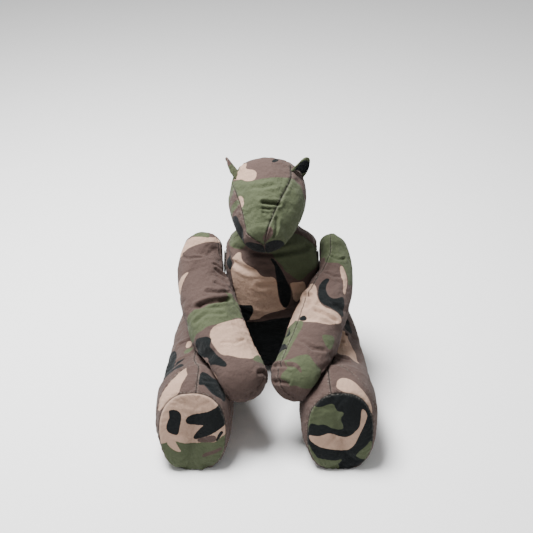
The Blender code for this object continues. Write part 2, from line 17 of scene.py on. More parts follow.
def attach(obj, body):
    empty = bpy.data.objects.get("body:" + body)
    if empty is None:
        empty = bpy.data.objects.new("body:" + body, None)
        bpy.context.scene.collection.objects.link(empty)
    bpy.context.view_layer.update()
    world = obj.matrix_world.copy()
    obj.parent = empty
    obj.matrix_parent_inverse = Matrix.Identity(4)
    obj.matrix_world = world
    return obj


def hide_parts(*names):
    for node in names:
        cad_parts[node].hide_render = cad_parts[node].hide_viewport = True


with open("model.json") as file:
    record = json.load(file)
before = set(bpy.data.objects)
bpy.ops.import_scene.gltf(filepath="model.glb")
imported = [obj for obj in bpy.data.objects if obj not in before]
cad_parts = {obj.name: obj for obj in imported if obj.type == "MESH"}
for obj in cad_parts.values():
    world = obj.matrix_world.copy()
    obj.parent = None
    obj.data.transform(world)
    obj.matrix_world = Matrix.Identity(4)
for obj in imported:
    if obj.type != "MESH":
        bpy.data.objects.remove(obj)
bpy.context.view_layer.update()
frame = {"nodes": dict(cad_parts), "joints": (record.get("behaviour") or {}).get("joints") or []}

bl_info = {
    "name": "Camouflage Training Dummy",
    "version": (1, 0, 0),
    "blender": (4, 5, 0),
    "location": "View3D > Sidebar > Dummy",
    "description": "Stuffed camouflage cloth forms of a sitting training dummy, and its stage",
    "category": "Object",
}

# Sizes shared with the part
NECK_HEIGHT = 0.270
NECK_BACK = 0.008
NECK_RADIUS = 0.060
NECK_DOME_ANGLE = math.radians(51)
JOINT_GAP = 0.0034
CUP_ROOM = 0.0012
TORSO_LEAN = 0.010
TORSO_SQUARENESS = 2.4
HIP_HALF_WIDTH = 0.074
SHOULDER_HALF_WIDTH = 0.094
WIDENING_START = 0.37 * NECK_HEIGHT
WIDENING_END = 0.70 * NECK_HEIGHT
TORSO_SECTIONS = (
    # share of the neck height, share of lean, half width over the sides' half width, half depth
    (0.000, 0.0, 0.784, 0.056),
    (0.030, 0.0, 0.946, 0.069),
    (0.111, 0.0, 1.068, 0.079),
    (0.259, 0.1, 1.081, 0.084),
    (0.352, 0.2, 1.095, 0.086),
    (0.444, 0.4, 1.083, 0.087),
    (0.593, 0.8, 1.120, 0.089),
    (0.759, 1.0, 1.106, 0.087),
    (0.896, 1.0, 1.096, 0.081),
    (0.978, 1.0, 1.000, 0.069),
    (1.037, 0.9, 0.851, 0.057),
    (1.093, 0.7, 0.660, 0.047),
)
HEAD_CENTRE = (0.002, 0.002, NECK_HEIGHT + 0.114)
HEAD_TILT = math.radians(22)
HEAD_TURN = math.radians(-3.5)
HEAD_ROLL = math.radians(5)
HEAD_SQUARENESS = 2.1
HEAD_BACK_LENGTH = 0.040
NOSE_LENGTH = 0.026
HEAD_SECTIONS = (
    # distance towards the nose, drop, half width, half height
    (-0.024, 0.000, 0.0710, 0.0620),
    (0.004, 0.000, 0.0755, 0.0650),
    (0.032, 0.001, 0.0735, 0.0635),
    (0.060, 0.002, 0.0655, 0.0570),
    (0.084, 0.004, 0.0550, 0.0490),
    (0.102, 0.005, 0.0440, 0.0410),
)
EAR_HEIGHT = 0.031
EAR_WIDTH = 0.046
EAR_CUP = 0.009
EAR_CORNER_CUT = 0.78
EAR_CORNER_POWERS = (3.0, 0.5)
EAR_NARROWING = 0.20
EAR_PLACE = -0.020
EAR_LIFT = 0.0021
EAR_SINK = -0.001
EAR_HALF_THICKNESS = 0.0019
EAR_LINING_RADIUS = 0.0165
EAR_EDGE_HEIGHT = 0.010
EAR_LINING_FACING = 0.25
EAR_UPRIGHT = 0.7
EAR_ANGLES = {"left": math.radians(58), "right": math.radians(62)}
EAR_TWISTS = {"left": math.radians(62), "right": math.radians(12)}
ARM_TOP_LENGTH = 0.031
PAW_LENGTH = 0.045
ARM_SQUARENESS = 2.15
SHOULDER_SECTION = 7
ARM_HUG_GAP = 0.006
ARM_SECTIONS = {
    "left": (
        # distance out from the line shoulder to middle, y, share of the neck height, half sizes
        (0.0340, -0.002, 0.9630, 0.0400, 0.0340),
        (0.0527, -0.020, 0.8741, 0.0455, 0.0420),
        (0.0643, -0.054, 0.7852, 0.0510, 0.0450),
        (0.0670, -0.100, 0.7074, 0.0560, 0.0460),
        (0.0647, -0.155, 0.6222, 0.0570, 0.0460),
        (0.0588, -0.212, 0.5556, 0.0560, 0.0460),
        (0.0500, -0.270, 0.5111, 0.0525, 0.0450),
    ),
    "right": (
        (0.0410, -0.002, 0.9556, 0.0290, 0.0320),
        (0.0587, -0.020, 0.8741, 0.0340, 0.0400),
        (0.0703, -0.054, 0.7889, 0.0400, 0.0440),
        (0.0700, -0.098, 0.7333, 0.0470, 0.0460),
        (0.0677, -0.152, 0.6667, 0.0520, 0.0460),
        (0.0648, -0.212, 0.5815, 0.0540, 0.0460),
        (0.0590, -0.270, 0.5111, 0.0515, 0.0450),
    ),
}
LEG_REACH = 0.350
HIP_END_LENGTH = 0.048
SOLE_BULGE = 0.009
LEG_SQUARENESS = 2.1
LEG_LEAVES_TORSO = -0.085
LEG_SECTIONS = (
    # distance out from the hip, share of the reach, z, pitch, half width, half height
    (0.0560, -0.0286, 0.0575, 0, 0.0540, 0.0580),
    (0.0580, 0.1714, 0.0600, 0, 0.0580, 0.0610),
    (0.0595, 0.3714, 0.0640, 2, 0.0610, 0.0650),
    (0.0605, 0.5714, 0.0690, 4, 0.0635, 0.0700),
    (0.0615, 0.7143, 0.0755, 8, 0.0655, 0.0745),
)
FOOT_SQUARENESS = 2.4
FOOT_SECTIONS = (
    (0.0615, 0.7143, 0.0750, 8, 0.0675, 0.0820),
    (0.0617, 0.8286, 0.0740, 11, 0.0690, 0.0845),
    (0.0620, 0.9286, 0.0735, 13, 0.0680, 0.0855),
    (0.0620, 1.0000, 0.0740, 15, 0.0620, 0.0820),
)
THIGH_GAP = 0.0048
SIDES = {"left": -1, "right": 1}

# Where the parts of a leg's form begin, as stations of the whole form
FOOT_START = 11
SOLE_START = 17.3

# Seams, as (station, angle) along each one
HEAD_SEAMS = {
    "left": ((-1, 120), (2, 138), (5, 149), (7, 138), (9, 134), (11, 135), (12, 138), (14, 145), (17, 120)),
    "right": ((-1, 60), (2, 44), (5, 47), (8, 57), (9.8, 64), (11.6, 68), (14, 75), (17, 80)),
}
ARM_SEAMS = {"left": ((-1, 20), (19, 32)), "right": ((-1, 104), (19, 134))}
FOOT_SEAMS = {"left": 83, "right": 107}
TUBE_SEAMS = {"left": 94, "right": 96}
ANKLE_ROOF = ((0, 0.3), (15, 0.8), (30, 1.7), (47, 3.0), (70, 4.2), (180, 4.6))

# Making the grids
GRID = 0.0046
START_SMALLER = 0.0012
MOST_OUT = 0.0045
MOST_IN = 0.0050
CONTACT_SHARE = 0.42
FIRST_FRAME = 1
LAST_FRAME = 20

# The place that the patches were laid out from, where the camera stands too
FRONT_PLACE = Vector((0.0, -1.510, 1.285))
CAMERA_TILT = math.radians(57)
CAMERA_LENS = 64.17
CAMERA_SENSOR = 36.0

# Lengths of a station on the foot and on the sole, for distances to the seams there
SOLE_STATION_LENGTH = 0.006
FOOT_STATION_LENGTH = 0.0175
ROOF_SLOPE = 0.8

# Sewn grooves, the puckers beside them and the creases of the cloth
SEAM_HALF_WIDTH = 0.0016
SEAM_ROLL = 0.0006
SEAM_ROLL_PLACE = 0.0045
SEAM_ROLL_WIDTH = 0.0032
PUCKER_HEIGHT = 0.0007
PUCKER_REACH = 0.009
PUCKER_START = 0.002
PUCKER_WANDER = 5.0
CREASE_DEPTH = 1.4
CREASE_LIP = 0.5
CREASE_LIP_PLACE = 2.2
WANDER_CELLS = 45.0
LUMP_CELLS = 28.0
FINE_LUMP_CELLS = 85.0
FINE_LUMP_SHARE = 0.35
MOST_ROOM = 0.004
LONGEST_SEAM_DISTANCE = 20

# Printed patches: distances to their edges are kept in millimetres, within this range
PATCH_RANGE = 12.0
VIEW_FADE_START = -0.12
VIEW_FADE_LENGTH = 0.22
BLOB_SCALE = 60.0
BLOBS = {
    # cells per metre, place in the noise, least value
    "under_black": (9.0, (2.7, 6.1, 4.4), 0.60),
    "tan": (8.0, (3.1, 7.7, 1.3), 0.20),
    "green": (7.0, (11.9, 2.3, 5.1), 0.00),
    "over": (9.0, (6.4, 9.2, 8.8), 0.30),
    "late_tan": (9.0, (1.4, 5.2, 9.8), 0.60),
    "black": (9.0, (8.3, 4.9, 2.6), 0.20),
}
COLOUR_LAYERS = ("under_black", "tan", "green", "over", "late_tan", "black")

# Colours of the cloth
CAMOUFLAGE = {
    "base": (0.076, 0.051, 0.044),
    "under_black": (0.006, 0.0075, 0.008),
    "tan": (0.390, 0.262, 0.195),
    "green": (0.068, 0.080, 0.044),
    "over": (0.076, 0.051, 0.044),
    "late_tan": (0.390, 0.262, 0.195),
    "black": (0.006, 0.0075, 0.008),
}
# Dark thread of the seam tape; the same colour is also painted down the sewn grooves as shade
THREAD_AND_SEAM_SHADE = (0.016, 0.014, 0.012)
PALE_THREAD = (0.13, 0.12, 0.10)
SCUFFED = (0.42, 0.38, 0.33)

# Stage
FLOOR_SIZE = 14.0
SKY_STRENGTH = 0.42
KEY_PLACE = (-0.55, 0.30, 2.1)
KEY_SIZE = 0.9
KEY_AIM = Vector((0, 0, 0.15))

Ring = namedtuple("Ring", "centre side up facing half_width half_height power")
Form = namedtuple("Form", "name body rings tips press seams middle patches creases slot nodes")


# ---------------------------------------------------------------- patches and creases

# Each patch is (colour, panel or None, outline); an outline is (station, angle) pairs.
ARM_PATCHES = {
    "left": (
        ("green", None, ((-1, 55), (1.2, 55), (1.2, 90), (1.2, 150), (0.6, 190), (-1, 200))),
        ("tan", None, ((3.3, 172), (2.3, 152), (1.3, 128), (1.0, 90), (1.0, 50), (0.9, 20), (1.6, 8),
                       (1.9, 25), (1.8, 45), (2.1, 72), (2.8, 100), (3.5, 125), (4.2, 142), (5.1, 168),
                       (5.2, 180), (4, 185))),
        ("tan", None, ((6.7, 126), (6.85, 142), (7.1, 160), (7.4, 178), (8.5, 178), (8.1, 160), (7.6, 148),
                       (7.1, 136))),
        ("tan", None, ((11.2, 38), (11.6, 72), (11.8, 105), (12.3, 125), (14.1, 122), (14.4, 104),
                       (14.7, 93), (14.85, 78), (14.98, 65), (14.4, 35), (14.3, 0), (13, -10), (11.3, 0))),
        ("green", None, ((9.05, 57), (9.35, 44), (10.2, 30), (11.0, 22), (11.2, 38), (11.3, 58), (11.6, 72),
                         (11.7, 88), (11.8, 105), (11.7, 120), (11.75, 133), (11.6, 150), (11.7, 170),
                         (11.6, 190), (10.6, 190), (10.4, 172), (10.15, 158), (10.05, 145), (10.2, 120),
                         (10.0, 100), (9.98, 78), (9.9, 62), (9.5, 57))),
        ("green", None, ((14.98, 66), (14.55, 50), (14.35, 35), (14.3, 15), (14.6, 0), (15.0, 5),
                         (15.15, 30), (15.2, 50), (15.2, 60))),
        ("black", None, ((11.9, 176), (11.85, 160), (11.9, 152), (12.1, 140), (12.35, 128), (12.65, 121),
                         (12.9, 125), (13.05, 131), (13.3, 130), (13.9, 127), (14.3, 122), (14.8, 117),
                         (15.0, 122), (14.75, 130), (14.4, 138), (14.1, 150), (14.0, 165), (13.6, 185),
                         (12.6, 190))),
    ),
    "right": (
        ("green", None, ((-1, 200), (2.0, 185), (4.4, 160), (4.8, 150), (4.7, 130), (5.5, 122), (5.9, 118),
                         (5.9, 98), (5.9, 73), (6.1, 62), (6.3, 52), (6.9, 42), (7.5, 32), (8.0, 30),
                         (7.0, 0), (3.0, -20), (-1, -30))),
        ("tan", None, ((6.3, 66), (6.1, 57), (6.9, 44), (7.6, 34), (8.4, 30), (9.0, 30), (8.9, 37),
                       (8.1, 42), (7.5, 53), (6.9, 62))),
        ("tan", None, ((11.9, 175), (11.2, 178), (10.4, 172), (9.7, 160), (9.45, 148), (9.05, 136),
                       (8.9, 124), (9.1, 112), (9.5, 103), (10.1, 96), (10.5, 86), (10.7, 70), (10.6, 50),
                       (10.75, 30), (11.1, 24), (11.4, 34), (11.7, 48), (11.85, 67), (11.9, 85),
                       (11.95, 105), (11.9, 117), (11.8, 130), (11.8, 142), (12.05, 160))),
        ("green", None, ((12.6, 63), (12.4, 50), (12.25, 33), (12.7, 28), (13.25, 34), (13.15, 46),
                         (12.9, 57))),
        ("green", None, ((11.9, 104), (11.85, 125), (11.9, 145), (12.1, 165), (12.5, 180), (14.8, 185),
                         (14.75, 150), (14.8, 130), (14.7, 118), (13.2, 112))),
        ("green", None, ((14.8, 122), (14.7, 103), (14.4, 87), (14.2, 73), (14.45, 62), (14.65, 50),
                         (14.5, 30), (16.0, 15), (17.2, 40), (17.3, 70), (17.5, 90), (16.9, 120),
                         (16.4, 118), (16.0, 108), (15.7, 103), (15.3, 110))),
        ("over", None, ((14.9, 112), (14.95, 95), (15.15, 80), (15.7, 72), (15.9, 72), (15.5, 85),
                        (15.3, 98), (15.3, 110))),
        ("black", None, ((8.15, 84), (8.3, 94), (8.7, 101), (9.4, 101), (10.0, 95), (10.4, 87), (10.55, 76),
                         (10.55, 63), (10.5, 50), (10.65, 36), (10.8, 22), (10.2, 22), (9.4, 28),
                         (9.25, 36), (9.55, 45), (9.85, 58), (9.8, 70), (9.55, 78), (9.2, 83), (8.8, 85),
                         (8.45, 82))),
        ("black", None, ((11.6, 104), (11.5, 112), (11.65, 123), (11.85, 120), (11.9, 104))),
        ("black", None, ((12.15, 147), (12.4, 141), (12.7, 134), (12.85, 142), (12.8, 152), (12.9, 162))),
        ("black", None, ((13.35, 160), (13.35, 148), (13.55, 135), (13.85, 122), (14.0, 128), (14.0, 145),
                         (14.0, 165), (13.9, 185), (12.8, 185), (12.6, 170))),
    ),
}
LEG_PATCHES = {
    "left": (
        ("tan", "tube", ((7.3, 105), (7.9, 105), (7.9, 118), (7.3, 118))),
        ("green", "tube", ((8.0, 100), (8.5, 100), (8.5, 120), (8.0, 120))),
        ("black", "tube", ((7, 138), (11.5, 138), (12, 190), (7, 200))),
        ("black", "tube", ((9.0, 110), (8.9, 120), (9.2, 135), (9.8, 138), (9.6, 125), (9.3, 112))),
        ("black", "tube", ((10.0, 118), (9.9, 130), (10.2, 150), (11, 150), (11, 112), (10.5, 112))),
        ("tan", "foot", ((11.3, 97), (11.9, 101), (12.6, 103), (13.4, 99), (14.2, 102), (15.2, 107),
                         (16.2, 110), (17.4, 112), (17.4, 150), (15, 160), (13, 140), (12, 118),
                         (11.4, 105))),
        ("black", "foot", ((13.1, 80), (12.9, 74), (13.2, 62), (13.9, 48), (14.8, 33), (15.9, 35),
                           (16.2, 50), (16.2, 60), (15.6, 66), (15.2, 72), (15.5, 78), (15.4, 81))),
    ),
    "right": (
        ("tan", "tube", ((6.05, 84), (5.95, 70), (6.1, 60), (6.6, 57), (6.9, 53), (7.4, 48), (8.2, 42),
                         (9.4, 42), (9.2, 52), (8.85, 66), (9.1, 78), (8.9, 88), (8.0, 92), (7.2, 88),
                         (6.6, 86))),
        ("black", "tube", ((4.2, 62), (4.2, 40), (5.8, 38), (5.7, 50), (5.4, 58), (5.0, 64))),
        ("tan", "foot", ((15.6, 97), (14.9, 95), (14.4, 90), (14.2, 83), (14.5, 74), (15.0, 67), (15.6, 58),
                         (16.0, 45), (17.4, 20), (17.4, 60), (17.4, 80), (16.6, 92), (16.1, 97))),
    ),
}

# Patches of the soles, as (across, up) pairs in millimetres from the middle.
SOLE_PATCHES = {
    "left": (
        ("base_tan", ()),
        ("green", ((-60, -20), (-32, -11), (-22, -15), (-6, -18), (8, -16), (28, -15), (42, -16),
                   (54, -4), (64, 0), (75, -40), (50, -95), (-50, -95), (-75, -40))),
        ("over", ((8, -9), (20, -6), (34, 0), (44, -2), (44, -14), (30, -16), (10, -16))),
        ("over", ((16, -44), (20, -38), (36, -33), (52, -26), (56, -30), (44, -38), (28, -44), (20, -46))),
        ("late_tan", ((-47, -1), (-33, -5), (-32, -12), (-25, -27), (-21, -33), (-25, -35), (-35, -31),
                      (-46, -22), (-48, -12))),
        ("black", ((-42, 50), (-28, 50), (-22, 46), (-19, 39), (-20, 28), (-22, 20), (-24, 8), (-26, 1),
                   (-30, -1), (-38, 2), (-45, 6), (-48, 14), (-46, 23), (-43, 31), (-41, 33), (-42, 41))),
        ("black", ((-10, 34), (-12, 28), (-10, 23), (-4, 20), (8, 19), (22, 20), (15, 14), (9, 6),
                   (3, -2), (1, -7), (4, -10), (11, -9), (22, -5), (35, 1), (50, 10), (60, 18), (70, 28),
                   (70, 50), (66, 72), (60, 69), (53, 61), (44, 54), (32, 47), (18, 43), (4, 41),
                   (-5, 38))),
        ("black", ((42, -14), (45, -4), (52, 8), (58, 4), (52, -4), (47, -13))),
    ),
    "right": (
        ("base_under_black", ()),
        ("green", ((-57, 72), (-54, 61), (-49, 55), (-38, 53), (-28, 57), (-18, 61), (-12, 58), (-9, 48),
                   (-4, 46), (4, 46), (5, 41), (0, 36), (0, 28), (4, 20), (5, 12), (-4, 9), (-11, 12),
                   (-18, 14), (-27, 20), (-35, 21), (-44, 19), (-51, 22), (-57, 20), (-59, 8), (-61, -4),
                   (-63, -14), (-67, -12), (-70, 10), (-70, 30), (-72, 50), (-71, 68), (-64, 72))),
        ("tan", ((-58, -2), (-50, -3), (-40, -3), (-30, 0), (-22, 4), (-14, 1), (-4, -3), (8, -6), (18, -2),
                 (26, 7), (35, 18), (36, 35), (37, 52), (44, 48), (48, 38), (47, 31), (41, 16), (34, 0),
                 (28, -17), (20, -27), (13, -32), (2, -33), (-11, -30), (-22, -29), (-33, -27),
                 (-40, -25), (-50, -18), (-57, -12))),
        ("green", ((-57, -20), (-53, -33), (-46, -42), (-42, -50), (-29, -52), (-7, -54), (5, -51),
                   (2, -60), (-4, -64), (0, -68), (0, -95), (-60, -95), (-80, -40))),
        ("green", ((31, -46), (29, -42), (36, -33), (49, -23), (56, -12), (60, -20), (58, -50), (43, -55))),
    ),
}
TORSO_PATCHES = (
    ("green", None, ((10.6, -172), (10.7, -155), (10.9, -145), (11.1, -135), (11.6, -130), (12.2, -135),
                     (13, -150), (13, -190), (11.5, -200), (10.6, -190))),
    ("tan", None, ((10.8, -138), (10.6, -131), (10.1, -127), (9.75, -119), (9.5, -109), (9.1, -103),
                   (8.95, -98), (8.97, -86), (8.5, -84), (8.0, -83), (7.6, -81), (7.3, -76), (7.2, -70),
                   (7.1, -81), (7.0, -91), (6.75, -98), (6.5, -111), (6.45, -116), (6.85, -111),
                   (7.15, -109), (7.35, -111), (7.25, -119), (7.2, -128), (7.6, -130), (8.7, -136),
                   (9.05, -139), (9.25, -135), (9.75, -137), (9.85, -141), (10.3, -138))),
    ("tan", None, ((8.6, -71), (8.55, -62), (8.5, -54), (8, -52), (7.4, -60), (7.6, -66), (8.1, -68))),
    ("green", None, ((12.2, -125), (11.3, -110), (11.0, -98), (11.0, -88), (10.4, -86), (10.1, -82),
                     (9.8, -78), (9.3, -75), (9.1, -70), (8.85, -66), (8.6, -61), (8.65, -54), (8.9, -48),
                     (9, -30), (10, -8), (12, -8), (13, -40), (12.6, -60))),
    ("black", None, ((12.3, -172), (12.1, -158), (12.9, -150), (13.2, -165))),
    ("black", None, ((10.0, -152), (9.8, -142), (9.35, -136), (8.9, -138), (9.1, -146), (9.5, -152))),
    ("black", None, ((10.45, -91), (10.4, -88), (10.2, -85), (9.9, -83), (9.4, -79), (9.0, -76), (8.6, -73),
                     (8.3, -70), (7.95, -69), (7.6, -69), (7.3, -72), (7.3, -76), (7.5, -79), (7.8, -81),
                     (8.1, -83), (8.6, -84), (9.0, -85), (9.3, -86), (9.7, -86), (10.1, -89), (10.3, -91))),
    ("black", None, ((7.25, -128), (7.3, -119), (7.4, -111), (7.15, -109), (6.85, -111), (6.5, -115),
                     (6.2, -122), (6.3, -135), (6.8, -135))),
    # Painted shadow: this black patch over the lower front of the torso, between the legs, stands in for the
    # deep shade that falls there
    ("black", None, ((6.2, -150), (6.3, -110), (6.8, -80), (6.4, -40), (1, -30), (1, -160))),
)
HEAD_PATCHES = (
    ("tan", "gusset", ((1.6, 152), (2.1, 130), (2.5, 121), (2.9, 122), (3.3, 122), (3.85, 117), (4.3, 105),
                       (4.8, 101), (5.55, 100), (6.2, 103), (6.25, 110), (6.05, 117), (5.4, 124),
                       (4.95, 136), (4.4, 150), (3.0, 162))),
    ("green", "gusset", ((4.9, 165), (5.0, 136), (5.5, 124), (6.1, 117), (6.25, 110), (6.25, 102),
                         (6.05, 88), (5.8, 74), (5.2, 50), (4.8, 30), (18, 30), (18, 165))),
    ("late_tan", "gusset", ((7.8, 136), (7.9, 127), (8.6, 124), (9.4, 126), (9.6, 133), (8.9, 137))),
    ("over", "gusset", ((13.4, 72), (14.2, 62), (15.5, 60), (16.5, 75), (15.8, 95), (15.2, 85),
                        (14.6, 78))),
    ("black", "gusset", ((1.9, 70), (2.2, 66), (3.0, 75), (2.9, 80), (2.3, 77))),
    ("green", "left", ((-1, 100), (7.3, 120), (7.3, 280), (-1, 280))),
    ("green", "left", ((8.0, 120), (9.0, 120), (9.0, 280), (8.0, 280))),
    ("black", "left", ((9.0, 149), (13.8, 156), (14.5, 200), (13, 270), (9.0, 270))),
    ("green", "right", ((5, 60), (5, 45), (4.9, 37), (5.6, 26), (6.4, 18), (6.6, 0), (6.6, -90), (18, -90),
                        (18, 90), (12, 80))),
    ("tan", "right", ((8.0, 33), (7.6, 26), (8.1, 20), (9.2, 17), (10.2, 12), (11, 10), (10.6, 20),
                      (9.9, 27), (9.1, 29), (8.5, 33))),
    ("over", "right", ((13.4, 75), (14.2, 58), (15.5, 55), (16.5, 70), (16.2, 90))),
    ("black", "right", ((14.3, -10), (15.2, 25), (16.4, 55), (18.0, 62), (18.0, -95), (13.6, -95))),
    ("black", "left", ((14.3, 190), (15.2, 165), (16.4, 145), (18.0, 135), (18.0, 275), (13.6, 275))),
)

# Each crease is (depth in metres, half width in metres, path of (station, angle)).
ARM_CREASES = {
    "left": (
        (0.0050, 0.0042, ((9.95, 122), (9.9, 100), (9.95, 80), (9.8, 58))),
        (0.0026, 0.0036, ((9.1, 97), (9.3, 75), (9.2, 52))),
        (0.0016, 0.0030, ((6.2, 62), (6.9, 35))),
        (0.0018, 0.0030, ((6.9, 62), (7.6, 38))),
        (0.0016, 0.0028, ((7.7, 64), (8.3, 45))),
        (0.0018, 0.0028, ((8.4, 75), (8.9, 55))),
        (0.0030, 0.0036, ((16.4, 10), (16.2, 30), (16.5, 55))),
        (0.0020, 0.0040, ((10.9, 140), (10.7, 110), (11.0, 85))),
        (0.0016, 0.0034, ((4.6, 150), (5.2, 120), (5.0, 90))),
        (0.0014, 0.0030, ((13.2, 60), (13.6, 85), (13.3, 105))),
    ),
    "right": (
        (0.0034, 0.0036, ((10.1, 112), (10.0, 125), (9.8, 138))),
        (0.0032, 0.0036, ((11.1, 88), (11.25, 65), (11.3, 42))),
        (0.0022, 0.0034, ((10.3, 105), (11.0, 112))),
        (0.0030, 0.0034, ((15.1, 152), (15.3, 125), (15.4, 98))),
        (0.0026, 0.0034, ((16.9, 152), (17.1, 125), (17.2, 98))),
        (0.0016, 0.0036, ((4.9, 100), (5.3, 75), (5.1, 50))),
        (0.0016, 0.0034, ((7.6, 95), (7.8, 75), (7.5, 55))),
        (0.0016, 0.0034, ((13.4, 95), (13.7, 70), (13.5, 50))),
    ),
}
LEG_CREASES = {
    "left": (
        (0.0030, 0.0040, ((7.0, 108), (7.05, 122), (6.9, 138))),
        (0.0020, 0.0036, ((8.8, 100), (9.0, 118), (8.9, 134))),
        (0.0016, 0.0036, ((14.0, 60), (14.4, 72))),
    ),
    "right": (
        (0.0024, 0.0036, ((6.3, 60), (6.35, 80), (6.2, 94))),
        (0.0030, 0.0038, ((7.3, 72), (7.35, 82), (7.2, 92))),
        (0.0022, 0.0036, ((9.5, 68), (9.55, 80), (9.4, 90))),
    ),
}
HEAD_CREASES = (
    (0.0040, 0.0032, ((9.5, 62), (9.65, 75), (9.6, 88))),
    (0.0016, 0.0024, ((10.3, 68), (10.5, 78), (10.4, 88))),
    (0.0014, 0.0024, ((11.0, 70), (11.2, 79), (11.1, 88))),
    (0.0012, 0.0022, ((11.6, 71), (11.7, 80))),
    (0.0024, 0.0034, ((12.0, 58), (13.5, 52), (15.0, 48))),
    (0.0014, 0.0034, ((7.0, 75), (7.5, 90), (7.3, 105))),
)
TORSO_CREASES = (
    (0.0030, 0.0050, ((10.9, -150), (11.0, -120), (10.9, -90), (11.1, -60), (10.9, -30))),
    (0.0024, 0.0044, ((9.6, -135), (9.3, -112), (9.5, -90))),
    (0.0022, 0.0044, ((8.2, -60), (8.6, -80), (8.4, -100))),
    (0.0022, 0.0044, ((7.0, -120), (6.8, -95), (7.1, -70))),
)


# ---------------------------------------------------------------- sections

def ring_at(centre, facing, reference, half_width, half_height, power=2.0, roll=0.0):
    """One oval section: side and up lie in its plane, facing stands on it."""
    facing = Vector(facing).normalized()
    side = Vector(reference).cross(facing).normalized()
    side = Matrix.Rotation(roll, 3, facing) @ side
    return Ring(Vector(centre), side, facing.cross(side), facing, half_width, half_height, power)


def smooth_row(rows, index, t):
    """A row of numbers on the smooth curve through the rows, part of the way past one of them."""
    last = len(rows) - 1
    start, end = rows[index], rows[index + 1]
    before = rows[index - 1] if index else 2 * start - end
    after = rows[index + 2] if index + 2 <= last else 2 * end - start
    return 0.5 * (2 * start + (end - before) * t + (2 * before - 5 * start + 4 * end - after) * t ** 2
                  + (3 * start - before - 3 * end + after) * t ** 3)


def smooth_rows(rows, steps):
    """Rows of numbers joined by a smooth curve through each of them, with steps between rows."""
    rows = [np.array(row, float) for row in rows]
    fine = [smooth_row(rows, i, step / steps) for i in range(len(rows) - 1) for step in range(steps)]
    return [list(row) for row in fine + [rows[-1]]]


def cap_rings(ring, length, start_angle=math.pi / 2, rings=4):
    """Sections that round off an open end along its facing, and the point at the very end."""
    capped = []
    for step in range(1, rings):
        angle = start_angle * (1 - step / rings)
        share = math.sin(angle) / math.sin(start_angle)
        offset = length * (math.cos(angle) - math.cos(start_angle))
        capped.append(ring._replace(
            centre=ring.centre + ring.facing * offset,
            half_width=ring.half_width * share,
            half_height=ring.half_height * share,
        ))
    return capped, ring.centre + ring.facing * length * (1 - math.cos(start_angle))


def back_cap(ring, length):
    """The same rounding at the first end of a form, in order from the tip inwards."""
    capped, tip = cap_rings(ring, -length)
    return capped[::-1], tip


def point_on(ring, angle):
    """A point of the section. A power above 2 makes the oval squarer."""
    across = math.cos(angle)
    upward = math.sin(angle)
    reach = (abs(across) ** ring.power + abs(upward) ** ring.power) ** (-1 / ring.power)
    return (ring.centre + ring.side * (ring.half_width * across * reach)
            + ring.up * (ring.half_height * upward * reach))


def ring_numbers(ring):
    return np.array([*ring.centre, *ring.side, *ring.up, ring.half_width, ring.half_height, ring.power])


def ring_from(numbers):
    side = Vector(numbers[3:6]).normalized()
    up = Vector(numbers[6:9]).normalized()
    return Ring(Vector(numbers[0:3]), side, up, side.cross(up), *numbers[9:12])


def dense_rings(rings, tips, spacing):
    """(station, section) pairs close enough together for a fine grid, from tip to tip."""
    start = rings[0]._replace(centre=Vector(tips[0]), half_width=0.0, half_height=0.0)
    end = rings[-1]._replace(centre=Vector(tips[1]), half_width=0.0, half_height=0.0)
    rows = [ring_numbers(ring) for ring in (start, *rings, end)]
    dense = []
    for index in range(len(rows) - 1):
        change = np.abs(rows[index + 1] - rows[index])
        gap = math.hypot(np.linalg.norm(change[:3]), max(change[9], change[10]))
        steps = max(1, round(gap / spacing))
        for step in range(steps):
            share = step / steps
            dense.append((index - 1 + share, ring_from(smooth_row(rows, index, share))))
    return dense[1:]


# ---------------------------------------------------------------- the forms' sections

def neck_centre():
    return Vector((TORSO_LEAN / 2, NECK_BACK, NECK_HEIGHT))


def torso_half_width(height):
    """Half the distance between the flat sides: narrow at the hips, wide at the shoulders."""
    share = (height - WIDENING_START) / (WIDENING_END - WIDENING_START)
    share = min(1.0, max(0.0, share))
    return HIP_HALF_WIDTH + (SHOULDER_HALF_WIDTH - HIP_HALF_WIDTH) * share, TORSO_LEAN * share


def torso_rings():
    rings = []
    for share, lean, width, half_depth in TORSO_SECTIONS:
        height = share * NECK_HEIGHT
        half_width = width * torso_half_width(height)[0]
        rings.append(ring_at((TORSO_LEAN * lean, 0, height), (0, 0, 1), (0, 1, 0),
                             half_width, half_depth, TORSO_SQUARENESS))
    collar_height = NECK_HEIGHT + NECK_RADIUS * math.cos(NECK_DOME_ANGLE)
    collar_radius = NECK_RADIUS * math.sin(NECK_DOME_ANGLE)
    collar = ring_at((neck_centre().x, NECK_BACK, collar_height), (0, 0, 1), (0, 1, 0),
                     collar_radius, collar_radius)
    dome, top = cap_rings(collar, NECK_RADIUS, NECK_DOME_ANGLE, 5)
    base, bottom = back_cap(rings[0], 0.0)
    return base[-1:] + rings + [collar] + dome, (bottom, top)


def press_torso(point):
    """Flattens the sides of the torso where the arms and the legs are sewn on."""
    half_width, middle = torso_half_width(point.z)
    x = min(max(point.x, middle - half_width), middle + half_width)
    return Vector((x, point.y, max(point.z, 0.0)))


def head_axes():
    turn = Matrix.Rotation(HEAD_TURN, 3, "Z")
    facing = turn @ Vector((0, -math.cos(HEAD_TILT), -math.sin(HEAD_TILT)))
    return facing, turn @ Vector((0, 0, 1))


def head_ring(along, drop, half_width, half_height):
    facing, reference = head_axes()
    ring = ring_at(HEAD_CENTRE, facing, reference, half_width, half_height, HEAD_SQUARENESS, HEAD_ROLL)
    return ring._replace(centre=ring.centre + facing * along - ring.up * drop)


